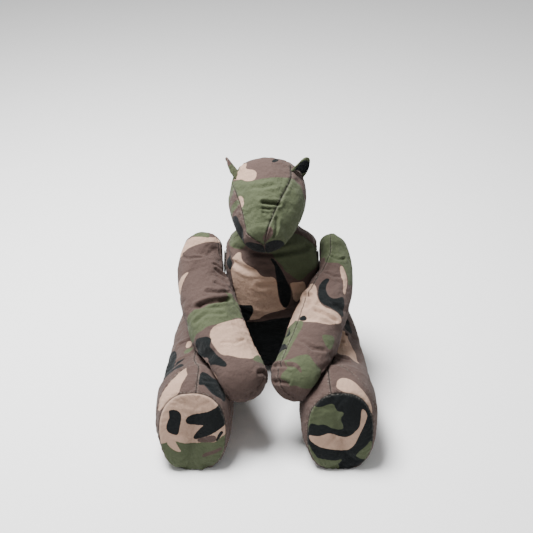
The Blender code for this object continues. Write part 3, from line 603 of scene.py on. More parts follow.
def head_rings():
    rings = [head_ring(*row) for row in smooth_rows(HEAD_SECTIONS, 2)]
    back, nape = back_cap(rings[0], HEAD_BACK_LENGTH)
    nose, tip = cap_rings(rings[-1], NOSE_LENGTH)
    return back + rings + nose, (nape, tip)


def press_head(point):
    """Hollows the underside of the head round the ball-shaped top of the torso."""
    out = point - neck_centre()
    least = NECK_RADIUS + JOINT_GAP + CUP_ROOM
    return neck_centre() + out * (least / out.length) if out.length < least else point


def head_surface(along, angle):
    """A point on the head's cloth at a distance towards the nose and an angle round it."""
    fine = smooth_rows(HEAD_SECTIONS, 12)
    after = next(i for i, row in enumerate(fine) if row[0] > along)
    low, high = fine[after - 1], fine[after]
    share = (along - low[0]) / (high[0] - low[0])
    return point_on(head_ring(*[a + (b - a) * share for a, b in zip(low, high)]), angle)


def arm_rings(side):
    last = len(ARM_SECTIONS[side]) - 1
    sections = []
    for index, (out, y, height, half_width, half_height) in enumerate(ARM_SECTIONS[side]):
        across = SIDES[side] * (out + SHOULDER_HALF_WIDTH * (1 - index / last))
        sections.append((across, y, height * NECK_HEIGHT, half_width, half_height))
    rows = smooth_rows(sections, 2)
    places = [Vector(row[:3]) for row in rows]
    rings = []
    for index, row in enumerate(rows):
        before = places[max(index - 1, 0)]
        after = places[min(index + 1, len(rows) - 1)]
        rings.append(ring_at(row[:3], after - before, (0, 0, 1), row[3], row[4], ARM_SQUARENESS))
    top, shoulder_tip = back_cap(rings[0], ARM_TOP_LENGTH)
    paw, paw_tip = cap_rings(rings[-1], PAW_LENGTH)
    return top + rings + paw, (shoulder_tip, paw_tip)


def thigh_rows():
    """The leg's section at fine steps along it, widened by the gap an arm keeps from it."""
    rows = [(*row, LEG_SQUARENESS) for row in leg_sections(LEG_SECTIONS[:-1])]
    rows += [(*row, FOOT_SQUARENESS) for row in leg_sections(FOOT_SECTIONS)]
    rows = [(x, y + h * math.sin(math.radians(pitch)) + THIGH_GAP / 2, z, w + THIGH_GAP, h + THIGH_GAP, power)
            for x, y, z, pitch, w, h, power in rows]
    return smooth_rows(rows, 6)


def thigh_at(y, fine):
    for before, after in zip(fine, fine[1:]):
        if after[1] <= y <= before[1]:
            share = (y - before[1]) / (after[1] - before[1])
            x, _, z, half_width, half_height, power = [a + (b - a) * share for a, b in zip(before, after)]
            return x, z, half_width, half_height, power
    return None


def beside_torso(y, sign):
    """How near the middle an arm may lie at a place from front to back: it hugs the torso."""
    _, _, width, half_depth = TORSO_SECTIONS[SHOULDER_SECTION]
    share = min(1.0, abs(y) / (half_depth + ARM_HUG_GAP))
    reach = (1 - share ** TORSO_SQUARENESS) ** (1 / TORSO_SQUARENESS)
    round_side = (width * SHOULDER_HALF_WIDTH + ARM_HUG_GAP) * reach
    return sign * TORSO_LEAN + min(SHOULDER_HALF_WIDTH + JOINT_GAP, round_side)


def press_arm(sign):
    """Keeps the upper arm off the torso, and hollows the arm where it rests on the leg."""
    fine = thigh_rows()

    def press(point):
        across = sign * point.x
        if abs(point.y) < TORSO_SECTIONS[SHOULDER_SECTION][-1] + ARM_HUG_GAP:
            across = max(across, beside_torso(point.y, sign))
        height = point.z
        thigh = thigh_at(point.y, fine)
        if thigh:
            x, z, half_width, half_height, power = thigh
            u = (across - x) / half_width
            v = (height - z) / half_height
            reach = (abs(u) ** power + abs(v) ** power) ** (1 / power)
            if 0 < reach < 1:
                across = x + (across - x) / reach
                height = z + (height - z) / reach
        return Vector((sign * across, point.y, height))

    return press


def leg_sections(table):
    """The table's rows with their places in metres, for the leg on the right."""
    return [(HIP_HALF_WIDTH + out, -LEG_REACH * share, *rest) for out, share, *rest in table]


def leg_table_rings(table, sign, squareness):
    rings = []
    for x, y, z, pitch, half_width, half_height in smooth_rows(leg_sections(table), 2):
        facing = (0, -math.cos(math.radians(pitch)), math.sin(math.radians(pitch)))
        rings.append(ring_at((sign * x, y, z), facing, (0, 0, 1), half_width, half_height, squareness))
    return rings


def leg_rings(sign):
    """The whole leg: the rounded hip end, the tube, the foot and the pushed-out sole."""
    tube = leg_table_rings(LEG_SECTIONS, sign, LEG_SQUARENESS)
    foot = leg_table_rings(FOOT_SECTIONS, sign, FOOT_SQUARENESS)
    hip_end, hip_tip = back_cap(tube[0], HIP_END_LENGTH)
    sole, sole_tip = cap_rings(foot[-1], SOLE_BULGE)
    return hip_end + tube + foot[1:] + sole, (hip_tip, sole_tip)


def press_leg(sign):
    """Flattens the leg on the floor and where it is sewn to the torso."""
    patch = HIP_HALF_WIDTH + JOINT_GAP

    def press(point):
        across = max(sign * point.x, patch) if point.y > LEG_LEAVES_TORSO else sign * point.x
        return Vector((sign * across, point.y, max(point.z, 0.0)))

    return press


# ---------------------------------------------------------------- seams

def along_path(path, stations):
    """The angle of a seam, in degrees, at each station."""
    return np.interp(stations, [s for s, _ in path], [a for _, a in path])


def torso_seams(station):
    return [-172.0, -8.0, 90.0]


def head_seams(station):
    right = float(along_path(HEAD_SEAMS["right"], station))
    left = float(along_path(HEAD_SEAMS["left"], station))
    return [-90.0, right, left]


def arm_seams(side):
    def seams(station):
        angle = float(along_path(ARM_SEAMS[side], station))
        return [angle - 180.0, angle]

    return seams


def leg_seams(side):
    def seams(station):
        share = min(1.0, max(0.0, (station - FOOT_START + 1) / 2))
        angle = TUBE_SEAMS[side] + (FOOT_SEAMS[side] - TUBE_SEAMS[side]) * share
        return [angle - 180.0, angle]

    return seams


# ---------------------------------------------------------------- list of forms

def torso_form():
    nodes = ("torso_front", "torso_back_left", "torso_back_right", "torso_filling")
    return Form("torso_cloth", "torso", *torso_rings(), press_torso, torso_seams, -90.0,
                TORSO_PATCHES, TORSO_CREASES, "cloth_brown", nodes)


def head_form():
    nodes = ("head_gusset", "head_side_left", "head_side_right", "head_filling")
    return Form("head_cloth", "head", *head_rings(), press_head, head_seams, 90.0,
                HEAD_PATCHES, HEAD_CREASES, "cloth_green", nodes)


def arm_form(side, sign):
    nodes = tuple(f"arm_{layer}_{side}" for layer in ("upper", "under", "filling"))
    return Form(f"arm_cloth_{side}", f"arm_{side}", *arm_rings(side), press_arm(sign), arm_seams(side), 90.0,
                ARM_PATCHES[side], ARM_CREASES[side], "cloth_brown", nodes)


def leg_form(side, sign):
    pieces = ("leg_inner", "leg_outer", "foot_inner", "foot_outer", "sole", "leg_filling")
    nodes = tuple(f"{piece}_{side}" for piece in pieces)
    return Form(f"leg_cloth_{side}", f"leg_{side}", *leg_rings(sign), press_leg(sign), leg_seams(side), 90.0,
                LEG_PATCHES[side], LEG_CREASES[side], "cloth_tan", nodes)


def all_forms():
    """Every stuffed form with its sections, seams, patches and creases."""
    forms = [torso_form(), head_form()]
    for side, sign in SIDES.items():
        forms += [arm_form(side, sign), leg_form(side, sign)]
    return forms


def world_shift():
    """How far the frame's place is from the sections' own: the frame is centred under its box."""
    neck = next(joint for joint in frame["joints"] if joint["name"] == "neck_turn")
    return Vector((0.0, neck["pos_m"][1] - NECK_BACK, 0.0))


# ---------------------------------------------------------------- grids

def panel_angles(form, station, counts):
    """Evenly spaced angles round one section, with a column on every seam."""
    seams = form.seams(station)
    ends = seams[1:] + [seams[0] + 360.0]
    return [a + (b - a) * j / count for a, b, count in zip(seams, ends, counts) for j in range(count)]


def column_counts(form, dense):
    widest = max(dense, key=lambda pair: pair[1].half_width + pair[1].half_height)
    station, ring = widest
    round_it = math.pi * (ring.half_width + ring.half_height)
    seams = form.seams(station)
    ends = seams[1:] + [seams[0] + 360.0]
    return [max(6, round(round_it * (b - a) / 360.0 / GRID)) for a, b in zip(seams, ends)]


def form_grid(form, shift):
    """Points, faces, stations, angles and each face's panel, for one closed form."""
    dense = dense_rings(form.rings, form.tips, GRID)
    counts = column_counts(form, dense)
    columns = sum(counts)
    points, stations, angles = [], [], []
    for station, ring in dense:
        for angle in panel_angles(form, station, counts):
            points.append(form.press(point_on(ring, math.radians(angle))) + shift)
            stations.append(station)
            angles.append(angle)
    rows = len(dense)
    panel_of = [panel for panel, count in enumerate(counts) for _ in range(count)]
    faces, panels = [], []
    for i in range(rows - 1):
        for j in range(columns):
            k = (j + 1) % columns
            faces.append((i * columns + j, i * columns + k, (i + 1) * columns + k, (i + 1) * columns + j))
            panels.append(panel_of[j])
    for tip, row, end in ((form.tips[0], 0, -1.0), (form.tips[1], rows - 1, float(len(form.rings)))):
        points.append(form.press(Vector(tip)) + shift)
        stations.append(end)
        angles.append(form.middle)
        for j in range(columns):
            k = (j + 1) % columns
            pair = (row * columns + j, row * columns + k)
            faces.append((len(points) - 1, *(pair if row else pair[::-1])))
            panels.append(panel_of[j])
    return points, faces, stations, angles, panels


def new_form(form, shift):
    """The form's mesh, with station, angle and panel kept as attributes of it."""
    points, faces, stations, angles, panels = form_grid(form, shift)
    mesh = bpy.data.meshes.new(form.name)
    mesh.from_pydata([tuple(p) for p in points], [], faces)
    radians = np.radians(np.array(angles))
    for name, values in (("station", stations), ("cosine", np.cos(radians)), ("sine", np.sin(radians))):
        mesh.attributes.new(name, "FLOAT", "POINT").data.foreach_set("value", np.array(values, np.float32))
    mesh.attributes.new("panel", "INT", "FACE").data.foreach_set("value", np.array(panels, np.int32))
    bm = bmesh.new()
    bm.from_mesh(mesh)
    bmesh.ops.recalc_face_normals(bm, faces=bm.faces)
    bm.to_mesh(mesh)
    bm.free()
    mesh.shade_smooth()
    obj = bpy.data.objects.new(form.name, mesh)
    bpy.context.scene.collection.objects.link(obj)
    return obj


def points_of(mesh):
    flat = np.empty(len(mesh.vertices) * 3, np.float32)
    mesh.vertices.foreach_get("co", flat)
    return flat.reshape(-1, 3).astype(float)


def normals_of(mesh):
    flat = np.empty(len(mesh.vertices) * 3, np.float32)
    mesh.vertex_normals.foreach_get("vector", flat)
    return flat.reshape(-1, 3).astype(float)


def place_points(mesh, points):
    mesh.vertices.foreach_set("co", points.astype(np.float32).ravel())
    mesh.update()


def attribute_values(mesh, name):
    data = mesh.attributes[name].data
    values = np.empty(len(data), np.int32 if mesh.attributes[name].data_type == "INT" else np.float32)
    data.foreach_get("value", values)
    return values


# ---------------------------------------------------------------- stuffing

def stuff(objects, settings):
    """Pushes each cloth form out by its filling: pressure in a slightly small cloth, for a few frames."""
    surfaces = {obj.name: points_of(obj.data) for obj in objects}
    normals = {obj.name: normals_of(obj.data) for obj in objects}
    limits = {obj.name: outward_limits(obj, objects) for obj in objects}
    for obj in objects:
        place_points(obj.data, surfaces[obj.name] - normals[obj.name] * START_SMALLER)
        add_cloth(obj, settings)
    scene = bpy.context.scene
    scene.frame_start, scene.frame_end = FIRST_FRAME, LAST_FRAME
    for number in range(FIRST_FRAME, LAST_FRAME + 1):
        scene.frame_set(number)
    graph = bpy.context.evaluated_depsgraph_get()
    results = {}
    for obj in objects:
        shape = obj.evaluated_get(graph).to_mesh()
        results[obj.name] = points_of(shape)
        obj.evaluated_get(graph).to_mesh_clear()
    for obj in objects:
        obj.modifiers.remove(obj.modifiers["stuffing"])
        move = results[obj.name] - surfaces[obj.name]
        out = (move * normals[obj.name]).sum(axis=1)
        held = np.clip(out, -MOST_IN, limits[obj.name])
        place_points(obj.data, surfaces[obj.name] + normals[obj.name] * held[:, None])
    scene.frame_set(FIRST_FRAME)


def outward_limits(obj, objects):
    """How far each point may move out: a set amount, or a share of the distance to the next form."""
    trees = [bvhtree.BVHTree.FromPolygons([v.co for v in other.data.vertices],
                                          [tuple(f.vertices) for f in other.data.polygons])
             for other in objects if other is not obj]
    limits = []
    for vert in obj.data.vertices:
        nearest = MOST_OUT / CONTACT_SHARE
        for tree in trees:
            found = tree.find_nearest(vert.co, nearest)
            if found[0] is not None:
                nearest = min(nearest, found[3])
        limits.append(min(nearest * CONTACT_SHARE - 0.0004, vert.co.z if vert.normal.z < -0.5 else 1.0))
    return np.array(limits)


def add_cloth(obj, settings):
    """A cloth modifier with pressure inside and no gravity. Seams and tips are pinned."""
    group = obj.vertex_groups.new(name="seams")
    panels = attribute_values(obj.data, "panel")
    touching = {}
    for face, panel in zip(obj.data.polygons, panels):
        for index in face.vertices:
            touching.setdefault(index, set()).add(int(panel))
    group.add([index for index, found in touching.items() if len(found) > 1], 1.0, "REPLACE")
    cloth = obj.modifiers.new("stuffing", "CLOTH").settings
    cloth.quality = 4
    cloth.use_pressure = True
    cloth.uniform_pressure_force = settings.pressure
    cloth.effector_weights.gravity = 0
    cloth.vertex_group_mass = group.name
    cloth.shrink_min = -settings.slack
    cloth.tension_stiffness = 25
    cloth.compression_stiffness = 25
    cloth.bending_stiffness = 0.6


def refine(obj):
    """Divides each face of the grid once, smoothly."""
    bpy.ops.object.select_all(action="DESELECT")
    obj.select_set(True)
    bpy.context.view_layer.objects.active = obj
    finer = obj.modifiers.new("finer", "SUBSURF")
    finer.levels = 1
    finer.render_levels = 1
    bpy.ops.object.modifier_apply(modifier=finer.name)
    obj.vertex_groups.clear()
    obj.data.shade_smooth()


# ---------------------------------------------------------------- surface coordinates

def station_lengths(form):
    """Length along the form's surface, in metres, at each whole station from -1."""
    start = form.rings[0]._replace(centre=Vector(form.tips[0]), half_width=0.0, half_height=0.0)
    end = form.rings[-1]._replace(centre=Vector(form.tips[1]), half_width=0.0, half_height=0.0)
    rows = [ring_numbers(ring) for ring in (start, *form.rings, end)]
    lengths = [0.0]
    for before, after in zip(rows, rows[1:]):
        change = np.abs(after - before)
        lengths.append(lengths[-1] + math.hypot(np.linalg.norm(change[:3]), (change[9] + change[10]) / 2))
    return np.array(lengths)


def mean_radius(form):
    return sum(ring.half_width + ring.half_height for ring in form.rings) / (2 * len(form.rings))


def flat_places(form, stations, angles):
    """Stations and angles as (along, round) metres on the form laid flat."""
    along = np.interp(stations, np.arange(-1, len(form.rings) + 1), station_lengths(form))
    return np.stack([along, np.radians(angles) * mean_radius(form)], axis=-1)


def unwrapped(form, cosines, sines):
    """Angles in degrees, within half a turn of the form's middle angle."""
    angles = np.degrees(np.arctan2(sines, cosines))
    return (angles - form.middle + 180.0) % 360.0 - 180.0 + form.middle


def distance_to_path(places, path, closed):
    """The distance from each place to the nearest point of a path, in metres."""
    ends = np.roll(path, -1, axis=0) if closed else path[1:]
    starts = path if closed else path[:-1]
    nearest = np.full(len(places), np.inf)
    for start, end in zip(starts, ends):
        step = end - start
        share = np.clip(((places - start) @ step) / max(step @ step, 1e-12), 0, 1)
        nearest = np.minimum(nearest, np.linalg.norm(places - start - share[:, None] * step, axis=1))
    return nearest


def inside_path(places, path):
    """Which places lie inside a closed path."""
    inside = np.zeros(len(places), bool)
    for (x0, y0), (x1, y1) in zip(path, np.roll(path, -1, axis=0)):
        if y0 == y1:
            continue
        crossing = (places[:, 1] > y0) != (places[:, 1] > y1)
        inside ^= crossing & (places[:, 0] < (x1 - x0) * (places[:, 1] - y0) / (y1 - y0) + x0)
    return inside


def softened(path):
    """A closed path with its corners cut twice."""
    for _ in range(2):
        after = np.roll(path, -1, axis=0)
        path = np.stack([path * 0.75 + after * 0.25, path * 0.25 + after * 0.75], axis=1).reshape(-1, 2)
    return path


def signed_distance(places, path):
    """Distance to a closed path in millimetres, positive inside and held to a small range."""
    path = softened(path)
    result = np.full(len(places), -PATCH_RANGE)
    reach = PATCH_RANGE / 1000
    near = ((places > path.min(axis=0) - reach) & (places < path.max(axis=0) + reach)).all(axis=1)
    if near.any():
        distance = distance_to_path(places[near], path, True) * 1000
        result[near] = np.where(inside_path(places[near], path), distance, -distance)
    return np.clip(result, -PATCH_RANGE, PATCH_RANGE)


# ---------------------------------------------------------------- seam grooves and creases

def seam_distances(form, stations, angles):
    """Distance in metres from each point to the nearest seam."""
    radius = mean_radius(form)
    lines = []
    for station in range(-1, len(form.rings) + 1):
        lines.append(form.seams(float(station)))
    lines = np.array(lines)
    nearest = np.full(len(stations), 1.0)
    for column in range(lines.shape[1]):
        line = np.interp(stations, np.arange(-1, len(form.rings) + 1), lines[:, column])
        turn = (angles - line + 180.0) % 360.0 - 180.0
        nearest = np.minimum(nearest, np.abs(np.radians(turn)) * radius)
    if form.name.startswith("leg"):
        nearest = np.where(stations > SOLE_START, 1.0, nearest)
        nearest = np.minimum(nearest, np.abs(ankle_distance(form, stations, angles)))
        nearest = np.minimum(nearest, np.abs(stations - SOLE_START) * SOLE_STATION_LENGTH)
    return nearest


def ankle_distance(form, stations, angles):
    """Signed distance along the leg from the pointed seam where the foot is sewn on."""
    side = form.body[4:]
    turn = np.abs((angles - FOOT_SEAMS[side] + 180.0) % 360.0 - 180.0)
    roof = FOOT_START + np.interp(turn, [a for a, _ in ANKLE_ROOF], [s for _, s in ANKLE_ROOF])
    return (stations - roof) * FOOT_STATION_LENGTH * ROOF_SLOPE


def noise_at(points, cells, place=(0, 0, 0)):
    """Smooth noise between about -1 and 1 at each point, with so many cells to the metre."""
    offset = Vector(place)
    return np.array([noise.noise(Vector(point) * cells + offset) for point in points])


def add_relief(obj, form, settings, shift):
    """Sewn grooves with puckers beside them, and the creases of the cloth."""
    mesh = obj.data
    points, normals = points_of(mesh), normals_of(mesh)
    stations = attribute_values(mesh, "station")
    angles = unwrapped(form, attribute_values(mesh, "cosine"), attribute_values(mesh, "sine"))
    places = flat_places(form, stations, angles)
    seams = seam_distances(form, stations, angles)
    wander = noise_at(points, WANDER_CELLS)
    puckers = np.sin(places.sum(axis=1) * 2 * math.pi / settings.pucker_length + wander * PUCKER_WANDER)
    height = -settings.seam_depth * np.exp(-(seams / SEAM_HALF_WIDTH) ** 2)
    beside = np.exp(-(seams / PUCKER_REACH) ** 2) * (1 - np.exp(-(seams / PUCKER_START) ** 2))
    height += PUCKER_HEIGHT * puckers * beside
    height += SEAM_ROLL * np.exp(-((seams - SEAM_ROLL_PLACE) / SEAM_ROLL_WIDTH) ** 2)
    for depth, half_width, path in form.creases:
        line = flat_places(form, *np.array(path, float).T)
        distance = distance_to_path(places, line, False)
        height -= CREASE_DEPTH * depth * np.exp(-(distance / half_width) ** 2)
        lip = np.exp(-((distance - CREASE_LIP_PLACE * half_width) / half_width) ** 2)
        height += CREASE_LIP * CREASE_DEPTH * depth * lip
    height += settings.lumps * noise_at(points, LUMP_CELLS)
    height += settings.lumps * FINE_LUMP_SHARE * noise_at(points, FINE_LUMP_CELLS)
    height = np.minimum(height, attribute_values(mesh, "room"))
    moved = points + normals * height[:, None]
    place_points(mesh, np.array([form.press(Vector(point) - shift) + shift for point in moved]))
    shade = mesh.attributes.new("seam", "FLOAT", "POINT")
    shade.data.foreach_set("value", (seams * 1000).clip(0, LONGEST_SEAM_DISTANCE).astype(np.float32))


def note_room(objects):
    """Keeps with each point how much further out it may go before it nears the next form or the floor."""
    rooms = {obj.name: outward_limits(obj, objects) for obj in objects}
    for obj in objects:
        values = np.clip(rooms[obj.name], 0.0, MOST_ROOM).astype(np.float32)
        obj.data.attributes.new("room", "FLOAT", "POINT").data.foreach_set("value", values)


# ---------------------------------------------------------------- camouflage

def blob_values(points):
    """Seeded patches for the cloth that no outline covers, in millimetres inside."""
    result = {}
    for colour, (cells, place, least) in BLOBS.items():
        values = (noise_at(points, cells, place) - least) * BLOB_SCALE
        result[colour] = np.clip(values, -PATCH_RANGE, PATCH_RANGE)
    return result


def face_names(form, face_panels, stations, angles):
    """The name of the sewn piece that each corner belongs to."""
    if form.name == "head_cloth":
        return np.array(["right", "gusset", "left"])[face_panels]
    if form.name.startswith("leg"):
        foot = ankle_distance(form, stations, angles) > 0
        names = np.where(foot, "foot", "tube")
        return np.where(stations > SOLE_START, "sole", names)
    return np.full(len(stations), "cloth")


def add_camouflage(obj, form, shift):
    """Keeps, at every corner of the mesh, how far inside a patch of each colour it lies."""
    mesh = obj.data
    points, normals = points_of(mesh), normals_of(mesh)
    vertex = np.empty(len(mesh.loops), np.int32)
    mesh.loops.foreach_get("vertex_index", vertex)
    totals = np.empty(len(mesh.polygons), np.int32)
    mesh.polygons.foreach_get("loop_total", totals)
    face_of = np.repeat(np.arange(len(mesh.polygons)), totals)
    stations = attribute_values(mesh, "station")[vertex]
    angles = unwrapped(form, attribute_values(mesh, "cosine"), attribute_values(mesh, "sine"))[vertex]
    middle_station = np.bincount(face_of, stations) / totals
    middle_angle = np.bincount(face_of, angles) / totals
    names = face_names(form, attribute_values(mesh, "panel"), middle_station, middle_angle)[face_of]
    drawn = {colour: np.full(len(vertex), -PATCH_RANGE) for colour in COLOUR_LAYERS}
    places = flat_places(form, stations, angles)
    for colour, panel, outline in form.patches:
        line = flat_places(form, *np.array(outline, float).T)
        values = signed_distance(places, line)
        if panel:
            values = np.where(names == panel, values, -PATCH_RANGE)
        drawn[colour] = np.maximum(drawn[colour], values)
    if form.name.startswith("leg"):
        draw_sole(form, drawn, (points - np.array(shift))[vertex], names == "sole")
    toward = np.array(FRONT_PLACE) - points
    toward /= np.linalg.norm(toward, axis=1)[:, None]
    facing = (toward * normals).sum(axis=1)
    seen = np.clip((facing - VIEW_FADE_START) / VIEW_FADE_LENGTH, 0, 1)[vertex]
    blobs = blob_values(points)
    for colour in COLOUR_LAYERS:
        values = drawn[colour] * seen + blobs[colour][vertex] * (1 - seen)
        layer = mesh.attributes.new(colour, "FLOAT", "CORNER")
        layer.data.foreach_set("value", values.astype(np.float32))
    add_cloth_map(mesh, places)


def draw_sole(form, drawn, points, on_sole):
    """The sole's patches, laid out in the plane of the foot's last section."""
    ring = form.rings[FOOT_START + 6]
    offset = points - np.array(ring.centre)
    across = offset @ np.array([1.0, 0.0, 0.0])
    upward = offset @ np.array(ring.up)
    places = np.stack([across, upward], axis=-1)
    for colour, outline in SOLE_PATCHES[form.body[4:]]:
        if outline:
            values = signed_distance(places, np.array(outline, float) / 1000)
        else:
            colour = colour[5:]
            values = np.full(len(places), PATCH_RANGE)
        drawn[colour] = np.where(on_sole, np.maximum(drawn[colour], values), drawn[colour])


def add_cloth_map(mesh, places):
    """A UV map in metres over the flat cloth, for the weave."""
    layer = mesh.uv_layers.new(name="cloth")
    layer.data.foreach_set("uv", places.astype(np.float32).ravel())


# ---------------------------------------------------------------- materials

def node(tree, kind, place, **values):
    made = tree.nodes.new(kind)
    made.location = place
    for name, value in values.items():
        setattr(made, name, value)
    return made


def mix_colours(tree, factor, first, second, place):
    """A colour mix. Either colour is a socket or a fixed value."""
    mix = node(tree, "ShaderNodeMix", place, data_type="RGBA")
    for socket, value in ((mix.inputs[0], factor), (mix.inputs[6], first), (mix.inputs[7], second)):
        if isinstance(value, bpy.types.NodeSocket):
            tree.links.new(value, socket)
        else:
            socket.default_value = (*value, 1) if isinstance(value, tuple) else value
    return mix.outputs[2]


def mapped(tree, value, low, high, place, to_low=0.0, to_high=1.0):
    """A value changed from one range into another."""
    change = node(tree, "ShaderNodeMapRange", place)
    tree.links.new(value, change.inputs["Value"])
    for name, number in (("From Min", low), ("From Max", high), ("To Min", to_low), ("To Max", to_high)):
        change.inputs[name].default_value = number
    return change.outputs["Result"]


def noise_of(tree, coordinates, scale, place, detail=2.0):
    grain = node(tree, "ShaderNodeTexNoise", place)
    tree.links.new(coordinates, grain.inputs["Vector"])
    grain.inputs["Scale"].default_value = scale
    grain.inputs["Detail"].default_value = detail
    return grain.outputs["Fac"]


def add_values(tree, first, second, place):
    added = node(tree, "ShaderNodeMath", place, operation="ADD")
    tree.links.new(first, added.inputs[0])
    tree.links.new(second, added.inputs[1])
    return added.outputs[0]


def patch_colour(tree, object_place):
    """The printed patches, one colour over another, each with a slightly uneven edge."""
    wobble = mapped(tree, noise_of(tree, object_place, 420.0, (-1500, 300)), 0.0, 1.0,
    (-1300, 300), -0.9, 0.9)
    colour = CAMOUFLAGE["base"]
    for index, name in enumerate(COLOUR_LAYERS):
        row = -220 * index
        layer = node(tree, "ShaderNodeAttribute", (-1500, row), attribute_name=name)
        uneven = add_values(tree, layer.outputs["Fac"], wobble, (-1200, row))
        share = mapped(tree, uneven, -0.45, 0.45, (-1000, row))
        colour = mix_colours(tree, share, colour, CAMOUFLAGE[name], (-800 + 60 * index, row))
    return colour


def multiply_colour(tree, colour, value, low, high, place):
    """Lightens and darkens a colour by a value between 0 and 1."""
    mix = node(tree, "ShaderNodeMix", place, data_type="RGBA", blend_type="MULTIPLY")
    mix.inputs[0].default_value = 1.0
    tree.links.new(colour, mix.inputs[6])
    tree.links.new(mapped(tree, value, 0.0, 1.0, (place[0] - 200, place[1] - 200), low, high), mix.inputs[7])
    return mix.outputs[2]


def weave(tree):
    """The twill's diagonal ribs across the flat cloth."""
    flat = node(tree, "ShaderNodeUVMap", (-1500, -1500), uv_map="cloth")
    ribs = node(tree, "ShaderNodeTexWave", (-1200, -1500), wave_type="BANDS", bands_direction="DIAGONAL")
    tree.links.new(flat.outputs["UV"], ribs.inputs["Vector"])
    ribs.inputs["Scale"].default_value = 380.0
    ribs.inputs["Distortion"].default_value = 0.6
    return ribs.outputs["Fac"]


def bumped(tree, height, distance, place, before=None):
    bump = node(tree, "ShaderNodeBump", place)
    bump.inputs["Distance"].default_value = distance
    tree.links.new(height, bump.inputs["Height"])
    if before:
        tree.links.new(before, bump.inputs["Normal"])
    return bump.outputs["Normal"]


def seam_colour(tree, colour, object_place):
    """Pale scuffs beside the seams, and painted shade, in the dark thread's colour, down in them."""
    seam = node(tree, "ShaderNodeAttribute", (-900, -1300), attribute_name="seam").outputs["Fac"]
    worn = mapped(tree, seam, 1.0, 4.5, (-700, -1300), 1.0, 0.0)
    scuffs = noise_of(tree, object_place, 260.0, (-900, -1500), 4.0)
    wear = node(tree, "ShaderNodeMath", (-500, -1300), operation="MULTIPLY")
    tree.links.new(worn, wear.inputs[0])
    tree.links.new(mapped(tree, scuffs, 0.45, 0.75, (-700, -1500), 0.0, 0.30), wear.inputs[1])
    colour = mix_colours(tree, wear.outputs[0], colour, SCUFFED, (160, 200))
    # Painted shade: the colour darkens to the thread's dark colour towards the bottom of each sewn groove
    groove = mapped(tree, seam, 0.3, 1.7, (160, -1300), 0.9, 0.0)
    return mix_colours(tree, groove, colour, THREAD_AND_SEAM_SHADE, (340, 200))


def camouflage_material():
    """Matt cotton twill printed with four colours, a little worn along its seams, with painted shade down in
    the seam grooves.
    """
    material = bpy.data.materials.new("camouflage_cloth")
    material.use_nodes = True
    tree = material.node_tree
    shader = tree.nodes["Principled BSDF"]
    places = node(tree, "ShaderNodeTexCoord", (-1800, 0))
    object_place = places.outputs["Object"]
    ribs = weave(tree)
    speckle = noise_of(tree, object_place, 900.0, (-900, 700), 3.0)
    colour = patch_colour(tree, object_place)
    faded = noise_of(tree, object_place, 22.0, (-900, 500), 4.0)
    colour = multiply_colour(tree, colour, faded, 0.80, 1.18, (-380, 200))
    colour = multiply_colour(tree, colour, speckle, 0.66, 1.34, (-200, 200))
    colour = multiply_colour(tree, colour, ribs, 0.93, 1.06, (-20, 200))
    colour = seam_colour(tree, colour, object_place)
    tree.links.new(colour, shader.inputs["Base Color"])
    shader.inputs["Roughness"].default_value = 0.86
    shader.inputs["Specular IOR Level"].default_value = 0.12
    shader.inputs["Sheen Weight"].default_value = 0.04
    shader.inputs["Sheen Roughness"].default_value = 0.45
    normal = bumped(tree, ribs, 0.00025, (0, -800))
    normal = bumped(tree, speckle, 0.0006, (200, -800), normal)
    rumple = noise_of(tree, object_place, 140.0, (-900, 900), 3.0)
    normal = bumped(tree, rumple, 0.0022, (400, -800), normal)
    tree.links.new(normal, shader.inputs["Normal"])
    return material


def thread_material():
    """The turned-in seam edges: dark tape with a fine uneven grain."""
    material = bpy.data.materials.new("seam_tape")
    material.use_nodes = True
    tree = material.node_tree
    shader = tree.nodes["Principled BSDF"]
    places = node(tree, "ShaderNodeTexCoord", (-900, 0))
    grain = noise_of(tree, places.outputs["Object"], 700.0, (-700, 0), 3.0)
    colour = mix_colours(tree, grain, THREAD_AND_SEAM_SHADE, PALE_THREAD, (-400, 100))
    tree.links.new(colour, shader.inputs["Base Color"])
    shader.inputs["Roughness"].default_value = 0.9
    tree.links.new(bumped(tree, grain, 0.0005, (-300, -200)), shader.inputs["Normal"])
    return material


def pale_material():
    material = bpy.data.materials.new("pale_floor")
    material.use_nodes = True
    shader = material.node_tree.nodes["Principled BSDF"]
    shader.inputs["Base Color"].default_value = (0.92, 0.92, 0.92, 1)
    shader.inputs["Roughness"].default_value = 0.9
    shader.inputs["Specular IOR Level"].default_value = 0.0
    return material


# ---------------------------------------------------------------- ears

def ear_grid(side, columns=22, rows=14):
    """The middle surface of an ear: rows of points up it, on a foot that follows the head."""
    sign = SIDES[side]
    facing, _ = head_axes()
    angle = math.pi / 2 - sign * EAR_ANGLES[side]
    foot = head_surface(EAR_PLACE, angle)
    normal = (foot - Vector(HEAD_CENTRE)).normalized()
    out = (normal + Vector((0, 0, EAR_UPRIGHT))).normalized()
    round_head = facing.cross(normal).normalized()
    twist = sign * EAR_TWISTS[side]
    radius = (foot - Vector(HEAD_CENTRE)).length
    across_power, height_power = EAR_CORNER_POWERS
    grid = []
    for step in range(rows + 1):
        height = step / rows
        row = []
        for j in range(columns + 1):
            place = 2 * j / columns - 1
            outline = (1 - EAR_CORNER_CUT * abs(place) ** across_power) ** height_power
            across = place * EAR_WIDTH / 2
            cup = EAR_CUP * (1 - place ** 2)
            sideways = across * math.cos(twist) + cup * math.sin(twist)
            forwards = across * math.sin(twist) - cup * math.cos(twist)
            base = head_surface(EAR_PLACE + forwards, angle + sideways / radius)
            along_ear = round_head * math.cos(twist) + facing * math.sin(twist)
            lift = EAR_SINK + (EAR_HEIGHT + EAR_LIFT - EAR_SINK) * height * outline
            row.append(base + out * lift - along_ear * (EAR_NARROWING * height ** 2 * across))
        grid.append(row)
    return grid


